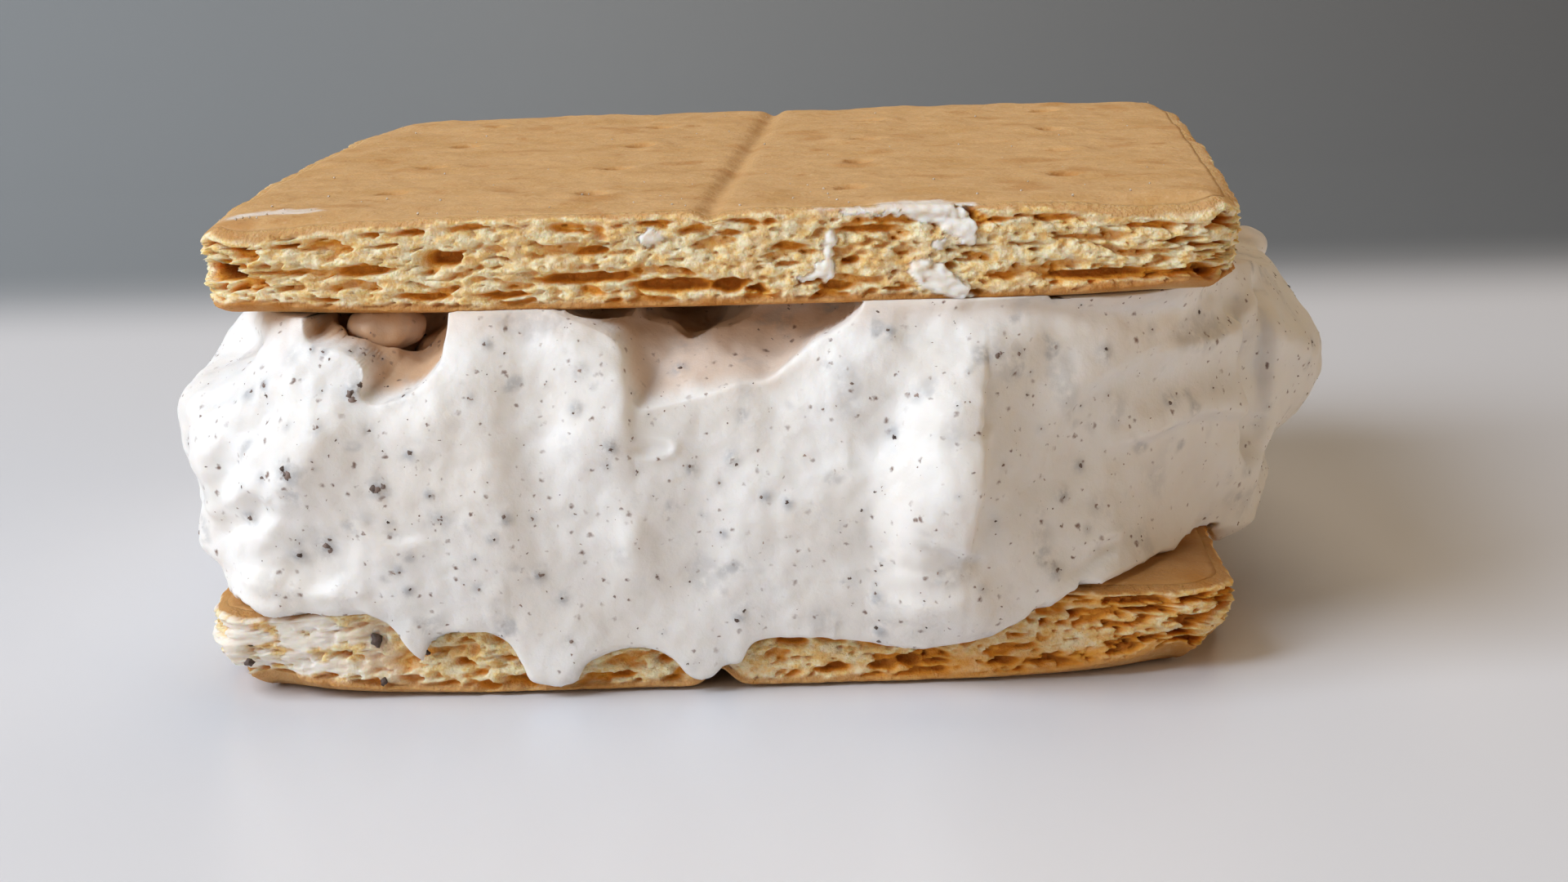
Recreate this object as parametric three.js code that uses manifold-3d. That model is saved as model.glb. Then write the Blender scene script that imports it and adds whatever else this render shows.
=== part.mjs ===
// An ice cream sandwich: two square, scored crackers with a thick layer of speckled soft-serve between them.
// Units are millimetres and +Z is up. While it is being built, X and Y are counted from the middle of the top
// cracker, with the broken face that one looks at towards -Y. The finished group is moved so that its origin is
// the middle of its footprint, on the surface that it rests on.
import * as THREE from "three";
import { mergeVertices } from "three/addons/utils/BufferGeometryUtils.js";
import Module from "manifold-3d";

// Driving dimensions
const crackerSide = 65.4;
const crackerThickness = 6.1;
const cornerRadius = 3.2;
const fillingHeight = 18.2; // between the facing sides of the crackers
const contactGap = 0.3; // kept between pieces that lie on each other

// What follows from them
const half = crackerSide / 2;
const fillingTop = crackerThickness + fillingHeight;
const frontFace = -half;

const wasm = await Module();
wasm.setup();

// ---------- small helpers ----------

// A closed geometry as a manifold-3d solid. Only the positions count, and triangles with no area are left out.
function solidOf(geometry) {
  const bare = new THREE.BufferGeometry();
  bare.setAttribute("position", geometry.getAttribute("position"));
  bare.setIndex(geometry.getIndex());
  const merged = mergeVertices(bare, 1e-4);
  const corners = merged.index.array;
  const kept = [];
  for (let i = 0; i < corners.length; i += 3) {
    const [a, b, c] = [corners[i], corners[i + 1], corners[i + 2]];
    if (a !== b && b !== c && c !== a) kept.push(a, b, c);
  }
  return new wasm.Manifold(
    new wasm.Mesh({
      numProp: 3,
      vertProperties: merged.attributes.position.array,
      triVerts: new Uint32Array(kept),
    }),
  );
}

// A manifold-3d solid as a geometry.
function geometryOf(solid) {
  const mesh = solid.getMesh();
  const geometry = new THREE.BufferGeometry();
  geometry.setAttribute("position", new THREE.BufferAttribute(new Float32Array(mesh.vertProperties), 3));
  geometry.setIndex(new THREE.BufferAttribute(new Uint32Array(mesh.triVerts), 1));
  return geometry;
}

// The largest of a solid's bodies, which drops any scrap that a cut leaves.
function largestBody(solid) {
  return solid.decompose().reduce((best, body) => (body.volume() > best.volume() ? body : best));
}

// Repeatable noise round a closed edge, from -1 to 1: turn is 0 to 1, and cells is how many bumps there are.
function edgeNoise(turn, cells, seed) {
  const value = (cell) => {
    const mixed = Math.sin((cell % cells) * 127.1 + seed * 311.7) * 43758.5453;
    return 2 * (mixed - Math.floor(mixed)) - 1;
  };
  const place = turn * cells;
  const cell = Math.floor(place);
  return THREE.MathUtils.lerp(value(cell), value(cell + 1), THREE.MathUtils.smoothstep(place - cell, 0, 1));
}

// A square with round corners, as a three.js shape.
function roundedSquare(side, radius) {
  const h = side / 2;
  const c = h - radius;
  const outline = new THREE.Shape();
  outline.moveTo(-c, -h);
  outline.lineTo(c, -h).absarc(c, -c, radius, -Math.PI / 2, 0, false);
  outline.lineTo(h, c).absarc(c, c, radius, 0, Math.PI / 2, false);
  outline.lineTo(-c, h).absarc(-c, c, radius, Math.PI / 2, Math.PI, false);
  outline.lineTo(-h, -c).absarc(-c, -c, radius, Math.PI, Math.PI * 1.5, false);
  return outline;
}

// A ball pressed or stretched to size, leaned about X by some degrees, with its middle at the place.
function blob(place, size, lean = 0, detail = 14) {
  return new THREE.SphereGeometry(1, detail, Math.round(detail * 0.7))
    .scale(...size)
    .rotateX(THREE.MathUtils.degToRad(lean))
    .translate(...place);
}

// A straight V-shaped groove along Y, with its point at the given height.
function groove(width, pointHeight, mouthHeight) {
  const section = new THREE.Shape();
  section.moveTo(-width / 2, mouthHeight);
  section.lineTo(0, pointHeight);
  section.lineTo(width / 2, mouthHeight);
  const length = crackerSide + 4;
  return new THREE.ExtrudeGeometry(section, { depth: length, bevelEnabled: false })
    .rotateX(Math.PI / 2)
    .translate(0, length / 2, 0);
}

// ---------- crackers ----------

// The broken edge from the lower crust to the upper one. Level is a share of the thickness, recess is how far the
// row lies inside the outline, and swing is how far it wanders from there.
const crumbLayers = [
  { level: 0.0, recess: 0.8, swing: 0.15 },
  { level: 0.06, recess: 0.2, swing: 0.2 },
  { level: 0.13, recess: 0.3, swing: 0.3 },
  { level: 0.2, recess: 0.9, swing: 1.3 }, // the long split over the lower crust
  { level: 0.3, recess: 0.3, swing: 0.5 },
  { level: 0.41, recess: 0.5, swing: 0.7 },
  { level: 0.5, recess: 0.7, swing: 1.2 }, // pockets between the flaky layers
  { level: 0.6, recess: 0.3, swing: 0.5 },
  { level: 0.72, recess: 0.6, swing: 0.9 },
  { level: 0.81, recess: 0.5, swing: 0.9 }, // pockets under the upper crust
  { level: 0.88, recess: 0.2, swing: 0.3 },
  { level: 0.95, recess: 0.2, swing: 0.2 },
  { level: 1.0, recess: 0.8, swing: 0.15 },
];
const flakeLength = 5.5; // from one crag to the next along an edge
const layerDrift = 0.035; // how far a layer strays from its level, as a share of the thickness
const flatReach = 0.86; // the crusts are flat as far out as this share of the outline
const bendReach = 0.95; // beyond it they bend a quarter of the way by here, and the rest by the edge
const cornerSpread = 0.035; // how far the bend of a corner spreads, in turns round the edge

// A square biscuit with ragged sides and flat crusts, lying on Z = 0. Bends gives how far its lower and its upper
// crust bend towards each other along the sides and at the corners.
function crackerBody(columns, seed, bends) {
  const outline = roundedSquare(crackerSide, cornerRadius).getSpacedPoints(columns);
  const flakes = Math.round((4 * crackerSide) / flakeLength);
  const rows = [
    { reach: 0, level: 0 },
    { reach: flatReach, level: 0 },
    { reach: bendReach, level: 0, bend: 0.25 },
    ...crumbLayers.map((layer, index) => ({ reach: 1, bend: 1, index, ...layer })),
    { reach: bendReach, level: 1, bend: 0.25 },
    { reach: flatReach, level: 1 },
    { reach: 0, level: 1 },
  ];
  const geometry = new THREE.LatheGeometry(
    rows.map((row) => new THREE.Vector2(row.reach, row.level)),
    columns,
  );
  const place = geometry.getAttribute("position");
  for (let column = 0; column <= columns; column++) {
    const turn = (column % columns) / columns;
    const edge = outline[column % columns];
    const fromCorner = (4 * turn) % 1; // the outline starts at a corner
    const near = Math.min(fromCorner, 1 - fromCorner) / 4;
    const corner = Math.exp(-((near / cornerSpread) ** 2));
    const lift = THREE.MathUtils.lerp(bends.lowerSide, bends.lowerCorner, corner);
    const droop = THREE.MathUtils.lerp(bends.upperSide, bends.upperCorner, corner);
    rows.forEach((row, k) => {
      let reach = row.reach;
      let level = row.level;
      if (row.recess !== undefined) {
        const chips = 0.5 * edgeNoise(turn, 3 * flakes, seed - row.index);
        const crag = edgeNoise(turn, flakes, seed + row.index) + chips;
        reach -= Math.max(0, row.recess + (row.swing * crag) / 1.5) / half;
        if (level > 0 && level < 1) level += layerDrift * edgeNoise(turn, flakes, seed + 31 + (row.index >> 1));
      }
      const bend = row.bend ?? 0;
      const height = level * crackerThickness + bend * ((1 - level) * lift - level * droop);
      place.setXYZ(column * rows.length + k, edge.x * reach, edge.y * reach, height);
    });
  }
  return solidOf(geometry);
}

// Docking holes, pricked in staggered rows on each side of the score line.
const dockingHole = { mouthRadius: 1.0, footRadius: 0.45, depth: 1.0, sides: 6 };
const dockingRows = [-21.4, -7.2, 7.2, 21.4];
const dockingColumns = [8.4, 22.2];
const dockingStagger = 3.6;

function dockingHoles() {
  const { mouthRadius, footRadius, depth, sides } = dockingHole;
  const holes = [];
  for (const side of [-1, 1]) {
    dockingColumns.forEach((x, column) => {
      for (const y of dockingRows) {
        const shifted = y + (column % 2 ? dockingStagger : -dockingStagger) / 2;
        const hole = new THREE.CylinderGeometry(mouthRadius, footRadius, 2 * depth, sides)
          .rotateX(Math.PI / 2)
          .translate(side * x, shifted, crackerThickness);
        holes.push(solidOf(hole));
      }
    });
  }
  return holes;
}

const scoreWidth = 1.7;
const scoreDepth = 0.5;

// The top cracker: score line and docking holes on top, and dabs of the filling that stuck to its front edge.
function topCracker() {
  let body = crackerBody(100, 3, { lowerSide: 0.1, lowerCorner: 0.9, upperSide: 0.2, upperCorner: 1.4 });
  body = body.subtract(
    solidOf(groove(scoreWidth, crackerThickness - scoreDepth, crackerThickness + 0.5)),
  );
  for (const hole of dockingHoles()) body = body.subtract(hole);
  body = body.subtract(solidOf(blob([-half, frontFace + 2.2, 3.3], [3.4, 5, 0.6], 0, 12))); // split corner
  const dabs = [
    blob([13.4, frontFace + 0.2, 1.7], [1.1, 0.9, 0.9], 0, 8),
    blob([14.7, frontFace + 0.2, 1.3], [0.9, 0.8, 0.7], 0, 8),
    blob([15.2, frontFace + 0.4, 4.5], [0.8, 0.9, 1.3], 0, 8),
    blob([6.8, frontFace + 0.6, 2.5], [0.5, 0.8, 0.9], 0, 8),
  ];
  for (const dab of dabs) body = body.add(solidOf(dab));
  return largestBody(body);
}

const underNotchWidth = 3.0;
const underNotchHeight = 1.1;

// The bottom cracker lies upside down, so its score line shows as a notch along its underside.
function bottomCracker() {
  const body = crackerBody(84, 11, { lowerSide: 0.2, lowerCorner: 1.9, upperSide: 0.1, upperCorner: 0.7 });
  return largestBody(body.subtract(solidOf(groove(underNotchWidth, underNotchHeight, -0.5))));
}

// How the bottom cracker lies: a little to the left, and turned.
const bottomShift = new THREE.Vector3(-2.1, -0.8, 0);
const bottomTurn = THREE.MathUtils.degToRad(2.3);

// ---------- filling ----------

// Three closed rails run round the filling: its foot on or over the lower cracker, its belly, and its brow under
// the top cracker. A station gives x, y and z of the foot, and x and y of the other two.
const stations = [
  // the front, from left to right
  { foot: [-30.6, -35.2, 6.4], belly: [-32.8, -32.4], brow: [-28.4, -31.0] },
  { foot: [-27.2, -36.0, 5.9], belly: [-29.0, -35.4], brow: [-25.8, -32.2] },
  { foot: [-23.2, -36.0, 5.8], belly: [-24.2, -36.7], brow: [-22.6, -32.3] },
  { foot: [-19.2, -35.9, 4.3], belly: [-19.4, -36.8], brow: [-18.6, -32.3] },
  { foot: [-15.2, -35.8, 3.8], belly: [-15.0, -36.9], brow: [-14.8, -32.3] },
  { foot: [-11.2, -35.6, 3.4], belly: [-11.0, -36.9], brow: [-11.0, -32.3] },
  { foot: [-7.0, -35.4, 2.9], belly: [-7.0, -36.5], brow: [-7.0, -32.3] },
  { foot: [-3.0, -35.2, 3.0], belly: [-3.0, -36.0], brow: [-3.0, -32.3] },
  { foot: [1.0, -35.1, 3.1], belly: [1.0, -35.9], brow: [1.0, -32.3] },
  { foot: [5.0, -35.0, 3.0], belly: [5.0, -36.2], brow: [5.0, -32.3] },
  { foot: [9.0, -34.9, 2.5], belly: [8.8, -36.9], brow: [8.8, -32.4] },
  { foot: [13.0, -34.8, 2.1], belly: [12.6, -37.6], brow: [12.6, -32.6] },
  { foot: [17.0, -34.6, 3.2], belly: [16.2, -36.6], brow: [16.4, -32.8] },
  // the right side, which falls back from the front corner and then swells out
  { foot: [21.2, -34.0, 5.7], belly: [19.6, -33.4], brow: [19.8, -31.0] },
  { foot: [25.0, -30.6, 6.4], belly: [23.4, -30.2], brow: [23.4, -28.8] },
  { foot: [28.2, -25.0, 6.4], belly: [27.2, -26.4], brow: [27.0, -25.8] },
  { foot: [30.6, -19.4, 6.2], belly: [31.6, -21.6], brow: [30.4, -22.0] },
  { foot: [34.4, -13.6, 4.9], belly: [36.4, -15.0], brow: [33.4, -16.0] },
  { foot: [36.4, -5.0, 4.2], belly: [39.6, -5.6], brow: [36.4, -7.0] },
  { foot: [35.6, 6.0, 4.8], belly: [38.6, 6.0], brow: [35.8, 5.0] },
  { foot: [33.6, 18.0, 4.2], belly: [36.4, 18.4], brow: [32.8, 18.0] },
  // the back
  { foot: [28.0, 31.2, 5.6], belly: [30.6, 32.4], brow: [27.6, 29.8] },
  { foot: [13.0, 34.6, 3.6], belly: [14.0, 36.0], brow: [13.0, 32.0] },
  { foot: [-4.0, 34.4, 4.8], belly: [-4.0, 35.0], brow: [-4.0, 31.6] },
  { foot: [-20.0, 34.0, 3.6], belly: [-21.0, 35.4], brow: [-19.0, 31.6] },
  // the left side
  { foot: [-34.6, 24.0, 5.2], belly: [-35.8, 24.6], brow: [-31.4, 24.0] },
  { foot: [-36.0, 8.0, 4.2], belly: [-37.6, 8.0], brow: [-32.2, 8.0] },
  { foot: [-35.8, -9.0, 5.2], belly: [-38.0, -9.0], brow: [-32.2, -9.0] },
  { foot: [-33.9, -24.0, 6.2], belly: [-36.2, -24.4], brow: [-31.4, -23.0] },
];
const bellyHeight = 13.4;
const browSlope = 0.5; // how much lower the brow is for each millimetre that it stands out past the top cracker

// Drips that hang over the front face of the lower cracker: where, half their width and how far below the hem.
const drips = [
  { x: -19.8, width: 1.0, drop: 2.2 },
  { x: -11.3, width: 1.7, drop: 2.9 },
  { x: -2.3, width: 1.3, drop: 2.4 },
  { x: 0.0, width: 1.4, drop: 1.3 },
];
const lowestDrip = 0.5;
const hemShare = 0.24; // of the filling's height, pulled down along with a drip

// Strokes that the spatula left: the surface near the line from start to end moves by push, and fades with radius.
const strokes = [
  { start: [-31, -33, 17], end: [-33, -29, 15], radius: 4.2, push: [-0.6, -0.7, 0] }, // left lobe
  { start: [-26.5, -35, 18], end: [-24, -36.5, 15.5], radius: 3.0, push: [-0.2, -0.9, 0.2] },
  { start: [-31.5, -33, 9.5], end: [-27, -36, 8.5], radius: 2.4, push: [0.6, 0.8, 0] }, // tuck under it
  { start: [-22.5, -36.5, 10.5], end: [-18.5, -36.8, 10], radius: 1.7, push: [0, 0.7, 0] }, // short crease
  { start: [-15, -34, 23], end: [-17.5, -35.5, 18.5], radius: 2.4, push: [0, -0.9, 0] }, // skin beside the cave
  { start: [-13, -37, 14], end: [-11, -36.5, 7], radius: 3.4, push: [0, -0.5, 0] },
  { start: [-9.4, -34, 22], end: [-8, -36, 17], radius: 2.6, push: [-0.2, -0.7, 0] },
  { start: [-5, -36, 16.6], end: [5, -36, 17.4], radius: 2.0, push: [0, -0.7, 0] }, // lip of the scallop
  { start: [6, -35.5, 18.4], end: [10, -34.5, 22], radius: 2.0, push: [0, -0.9, 0] },
  { start: [9.5, -36, 17.6], end: [11, -36, 16.9], radius: 1.8, push: [0, 0.7, 0] }, // dent
  { start: [11.4, -37, 13.5], end: [13.2, -37.6, 10], radius: 2.8, push: [0, -1.0, 0.1] }, // bright knob
  { start: [16.2, -35, 21], end: [14.8, -37.6, 10], radius: 1.6, push: [0.5, -1.0, 0] }, // its ridge
  { start: [19.0, -33.5, 18], end: [17.2, -36, 8.6], radius: 2.0, push: [-0.6, 1.0, 0] }, // valley past the ridge
  { start: [20.6, -32, 18.6], end: [33.5, -18.5, 20.6], radius: 1.8, push: [0.6, -0.7, 0.2] }, // upper swoosh
  { start: [19, -33, 13.6], end: [32, -21, 15.2], radius: 1.7, push: [0.5, -0.6, 0] }, // lower swoosh
  { start: [20, -31.5, 22.4], end: [31, -22, 22.8], radius: 1.6, push: [-0.5, 0.7, 0] }, // hollow over them
  { start: [21, -32, 10.5], end: [31, -21.5, 12], radius: 1.9, push: [-0.5, 0.5, 0] },
  { start: [22.5, -31.5, 7.9], end: [25.5, -29, 8.6], radius: 1.2, push: [0.4, -0.5, 0] }, // fold at the foot
  { start: [34.2, -18, 22], end: [35, -17, 12], radius: 1.7, push: [-1.3, 0.8, 0] }, // groove before the lobe
  { start: [39, -9, 17.5], end: [39.6, -4, 15.5], radius: 3.6, push: [1.0, -0.4, 0] }, // right lobe
  { start: [37.5, -13, 10.6], end: [39, 3, 11], radius: 1.7, push: [-1.3, 0.2, 0] },
  { start: [-4.8, -36.5, 10.9], end: [-3.8, -36.5, 10.2], radius: 1.5, push: [0, -0.7, 0.1] }, // small bumps
  { start: [-13.2, -36.5, 8.6], end: [-11.6, -36.5, 7.9], radius: 1.7, push: [0, -0.5, 0] },
  { start: [-30.6, -35, 11.2], end: [-29.4, -35.3, 12.4], radius: 1.6, push: [-0.4, -0.5, 0] },
  { start: [-26.8, -36, 9.2], end: [-25.2, -36, 9.8], radius: 1.6, push: [0, -0.5, 0] },
  { start: [-28.2, -35.4, 15.2], end: [-27, -35.6, 14], radius: 1.5, push: [-0.1, -0.5, 0] },
  { start: [-18.5, -36.5, 7.5], end: [-16.5, -36.5, 6], radius: 1.8, push: [0, 0.4, 0] },
  { start: [2, -36.2, 12], end: [6, -36.4, 8], radius: 2.4, push: [0, 0.4, 0] },
  // round the sides and the back, alternating folds
  { start: [36, 15, 18], end: [33, 27, 12], radius: 2.8, push: [1.0, 0.4, 0] },
  { start: [24, 34, 17], end: [8, 36, 13], radius: 2.6, push: [0, 1.0, 0] },
  { start: [10, 35, 9], end: [-8, 35, 10.5], radius: 2.4, push: [0, -0.8, 0] },
  { start: [-8, 35, 18.5], end: [-26, 34, 14], radius: 2.6, push: [0, 1.0, 0] },
  { start: [-35, 24, 18], end: [-37, 8, 14], radius: 2.8, push: [-0.6, 0, 0] },
  { start: [-37, 8, 10], end: [-37.5, -4, 12], radius: 2.2, push: [0.9, 0, 0] },
  { start: [-36, -2, 19], end: [-38, -16, 15], radius: 2.6, push: [-0.5, 0, 0] },
];

// Hollows where the filling pulled away under the top cracker: middle, half sizes and lean.
const hollows = [
  { place: [-19.9, -33.4, 23.2], size: [3.7, 6.4, 3.8], lean: 0 }, // cave at the left
  { place: [-23.6, -36.6, 25.4], size: [4.6, 4.8, 3.6], lean: 0 }, // its ledge
  { place: [2.0, -38.9, 23.8], size: [8.3, 7.7, 5.6], lean: -22 }, // scallop
  { place: [-2.2, -38.6, 22.2], size: [4.6, 6.0, 5.2], lean: -16 },
  { place: [-1.7, -31.0, 24.6], size: [2.9, 7.0, 2.0], lean: 0 }, // gap behind the scallop
];

// Lumps that stand on the rest: inside the cave, and on the lobe at the right.
const lumps = [
  { place: [-21.0, -29.6, 23.0], size: [1.9, 2.4, 1.3] },
  { place: [36.4, 3.0, 22.3], size: [1.5, 2.6, 2.0] },
  { place: [38.0, 3.0, 9.6], size: [1.7, 2.8, 1.3] },
];

// The rails through the stations, each a closed curve.
function rail(pick) {
  return new THREE.CatmullRomCurve3(
    stations.map((station) => new THREE.Vector3(...pick(station))),
    true,
  );
}

// How far the drips pull the hem down at a place on the front. Their tips are blunt.
function dripDepth(x) {
  return drips.reduce((sum, drip) => sum + drip.drop * Math.exp(-(((x - drip.x) / drip.width) ** 4)), 0);
}

// Moves a point of the surface by every stroke that is near it.
function stroked(point) {
  const moved = point.clone();
  const nearest = new THREE.Vector3();
  for (const { start, end, radius, push } of strokes) {
    const line = new THREE.Line3(new THREE.Vector3(...start), new THREE.Vector3(...end));
    line.closestPointToPoint(point, true, nearest);
    const fade = Math.exp(-((point.distanceTo(nearest) / radius) ** 2));
    moved.addScaledVector(new THREE.Vector3(...push), fade);
  }
  return moved;
}

// The filling before it is cut to fit the crackers: a closed skin over the rails.
function fillingSkin(columns, sideRows) {
  const ceiling = fillingTop - contactGap;
  const footRail = rail((s) => s.foot);
  const bellyRail = rail((s) => [...s.belly, bellyHeight]);
  const browRail = rail((s) => {
    const past = Math.max(0, Math.max(Math.abs(s.brow[0]), Math.abs(s.brow[1])) - half);
    return [...s.brow, ceiling - browSlope * past];
  });
  const innerReach = 0.9; // rings that keep the contact faces level under and over the crackers
  const rowCount = sideRows + 5;
  const geometry = new THREE.LatheGeometry(
    Array.from({ length: rowCount }, (_, k) => new THREE.Vector2(k % (rowCount - 1) ? 1 : 0, k)),
    columns,
  );
  const place = geometry.getAttribute("position");
  for (let column = 0; column <= columns; column++) {
    const turn = (column % columns) / columns;
    const foot = footRail.getPoint(turn);
    const belly = bellyRail.getPoint(turn);
    const brow = browRail.getPoint(turn);
    const drip = foot.y < frontFace ? dripDepth(foot.x) : 0;
    const points = [new THREE.Vector3(0, 0, crackerThickness / 2)];
    points.push(new THREE.Vector3(foot.x * innerReach, foot.y * innerReach, crackerThickness / 2));
    for (let k = 0; k <= sideRows; k++) {
      const rise = k / sideRows;
      const lower = rise < 0.5;
      const end = lower ? foot : brow;
      const swell = Math.sin((lower ? rise : 1 - rise) * Math.PI);
      const point = end.clone().lerp(belly, swell);
      const hang = drip * Math.max(0, 1 - rise / hemShare) ** 2;
      point.z = Math.max(lowestDrip, THREE.MathUtils.lerp(foot.z, brow.z, rise) - hang);
      points.push(stroked(point));
    }
    points.push(new THREE.Vector3(brow.x * innerReach, brow.y * innerReach, ceiling));
    points.push(new THREE.Vector3(0, 0, ceiling));
    points.forEach((point, k) => {
      place.setXYZ(column * rowCount + k, point.x, point.y, Math.min(point.z, ceiling));
    });
  }
  return solidOf(geometry);
}

// The room that the lower cracker and its gap take.
function bottomCrackerRoom() {
  const room = new THREE.ExtrudeGeometry(
    roundedSquare(crackerSide + 2 * contactGap, cornerRadius + contactGap),
    { depth: 2 * crackerThickness + contactGap, bevelEnabled: false, curveSegments: 4 },
  )
    .translate(0, 0, -crackerThickness)
    .rotateZ(bottomTurn)
    .translate(...bottomShift.toArray());
  return solidOf(room);
}

function filling() {
  let body = fillingSkin(145, 13);
  for (const { place, size, lean } of hollows) body = body.subtract(solidOf(blob(place, size, lean, 20)));
  for (const { place, size } of lumps) body = body.add(solidOf(blob(place, size, 0, 10)));
  return largestBody(body.subtract(bottomCrackerRoom()));
}

// ---------- materials and assembly ----------

const bakedCrust = new THREE.MeshStandardMaterial({ color: 0xc2924f, roughness: 0.72, metalness: 0 });
const shadedCrust = new THREE.MeshStandardMaterial({ color: 0xb98747, roughness: 0.75, metalness: 0 });
const cookiesCream = new THREE.MeshStandardMaterial({ color: 0xe3dcd3, roughness: 0.42, metalness: 0 });

function namedMesh(name, solid, material) {
  const mesh = new THREE.Mesh(geometryOf(solid), material);
  mesh.name = name;
  return mesh;
}

const lower = namedMesh("bottom_cracker", bottomCracker(), shadedCrust);
lower.position.copy(bottomShift);
lower.rotation.z = bottomTurn;
const cream = namedMesh("filling", filling(), cookiesCream);
const upper = namedMesh("top_cracker", topCracker(), bakedCrust);
upper.position.set(-0.4, 0, fillingTop);

const pieces = new THREE.Group();
pieces.add(lower, cream, upper);

const sandwich = new THREE.Group();
sandwich.add(pieces);
sandwich.updateMatrixWorld(true);
const middle = new THREE.Box3().setFromObject(sandwich, true).getCenter(new THREE.Vector3());
pieces.position.set(-middle.x, -middle.y, 0);

export default sandwich;
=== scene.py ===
import math
import random

import bmesh
import bpy
import numpy as np
from mathutils import Matrix, Vector, noise
from mathutils.bvhtree import BVHTree


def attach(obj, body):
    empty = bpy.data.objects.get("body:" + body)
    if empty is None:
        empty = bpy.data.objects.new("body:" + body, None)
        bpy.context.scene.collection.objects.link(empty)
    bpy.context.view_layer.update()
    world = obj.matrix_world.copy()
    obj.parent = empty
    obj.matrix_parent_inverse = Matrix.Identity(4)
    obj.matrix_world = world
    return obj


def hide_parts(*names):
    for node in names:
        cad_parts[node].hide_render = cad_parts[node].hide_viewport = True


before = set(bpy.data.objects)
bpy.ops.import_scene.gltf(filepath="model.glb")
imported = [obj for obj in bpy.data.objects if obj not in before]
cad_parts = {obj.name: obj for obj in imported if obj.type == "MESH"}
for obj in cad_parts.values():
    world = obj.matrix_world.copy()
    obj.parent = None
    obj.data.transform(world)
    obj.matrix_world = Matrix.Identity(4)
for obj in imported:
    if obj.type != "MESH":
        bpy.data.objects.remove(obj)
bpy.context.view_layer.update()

print("frame loaded")

# Shapes are worked out in millimetres round a line up through the crackers, then moved into the frame.
mm = 0.001
frameShift = Vector((-1.1105, 0.9222, 0.0))
intoFrame = Matrix.Scale(mm, 4) @ Matrix.Translation(frameShift)

cracker = {
    "side": 65.4,
    "cornerRadius": 3.2,
    "thickness": 6.1,
    "fillingHeight": 18.2,
    "topShift": (-0.4, 0.0),
    "bottomShift": (-2.1, -0.8),
    "bottomTurn": 2.3,
}
half = cracker["side"] / 2
fillingTop = cracker["thickness"] + cracker["fillingHeight"]
placeTop = Matrix.Translation((*cracker["topShift"], fillingTop))
turnBottom = Matrix.Rotation(math.radians(cracker["bottomTurn"]), 4, "Z")
placeBottom = Matrix.Translation((*cracker["bottomShift"], 0)) @ turnBottom


# small helpers


def smoothStep(low, high, value):
    share = np.clip((value - low) / (high - low), 0, 1)
    return share * share * (3 - 2 * share)


def bell(distance, width):
    return np.exp(-((distance / width) ** 2))


def noiseField(points, scale, seed):
    # soft noise from about -1 to 1 at each point; scale is the size of its lumps, or one for each axis
    places = points / np.broadcast_to(scale, 3) + np.array((seed, -2 * seed, 3 * seed))
    return np.array([noise.noise(place) for place in places.tolist()])


def withNoise(values, points, layers, seed=0):
    # adds layers of noise, each given as its strength, scale and seed, to the values at the points
    for strength, scale, shift in layers:
        values = values + strength * noiseField(points, scale, seed + shift)
    return values


def onLevel(flat):
    return np.column_stack([flat, np.zeros(len(flat))])


def readPoints(mesh):
    points = np.empty(len(mesh.vertices) * 3)
    mesh.vertices.foreach_get("co", points)
    return points.reshape(-1, 3)


def writePoints(mesh, points):
    mesh.vertices.foreach_set("co", np.ascontiguousarray(points, dtype=float).ravel())
    mesh.update()


def readNormals(mesh):
    normals = np.empty(len(mesh.vertices) * 3)
    mesh.vertex_normals.foreach_get("vector", normals)
    return normals.reshape(-1, 3)


def readTriangles(mesh):
    mesh.calc_loop_triangles()
    return np.array([triangle.vertices[:] for triangle in mesh.loop_triangles])


def storeShare(mesh, name, values):
    layer = mesh.attributes.new(name, "FLOAT", "POINT")
    layer.data.foreach_set("value", np.clip(values, 0, 1).astype(np.float32))


def readShare(mesh, name):
    values = np.empty(len(mesh.vertices), dtype=np.float32)
    mesh.attributes[name].data.foreach_get("value", values)
    return values


def surfaceSearch(mesh, points):
    # finds places on the mesh, with its corners at the points
    return BVHTree.FromPolygons(points.tolist(), [face.vertices[:] for face in mesh.polygons])


def meshFrom(form, name):
    mesh = bpy.data.meshes.new(name)
    form.to_mesh(mesh)
    form.free()
    return mesh


def weld(mesh, distance=1e-4):
    form = bmesh.new()
    form.from_mesh(mesh)
    bmesh.ops.remove_doubles(form, verts=form.verts, dist=distance)
    bmesh.ops.recalc_face_normals(form, faces=form.faces)
    form.to_mesh(mesh)
    form.free()
    mesh.update()


def extrudeAlong(form, edges, way):
    made = bmesh.ops.extrude_edge_only(form, edges=edges)["geom"]
    moved = [part for part in made if isinstance(part, bmesh.types.BMVert)]
    bmesh.ops.translate(form, verts=moved, vec=way)


def splitLargeFaces(form):
    bmesh.ops.triangulate(form, faces=[face for face in form.faces if len(face.verts) > 4])


def addObject(name, data):
    made = bpy.data.objects.new(name, data)
    bpy.context.collection.objects.link(made)
    return made


def addPiece(name, mesh, material, standsFor=()):
    mesh.transform(intoFrame)
    mesh.materials.clear()
    mesh.materials.append(material)
    mesh.shade_smooth()
    piece = addObject(name, mesh)
    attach(piece, "root")
    if standsFor:
        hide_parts(*standsFor)
    print(f"{name}: {len(readTriangles(mesh))} triangles")


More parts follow.
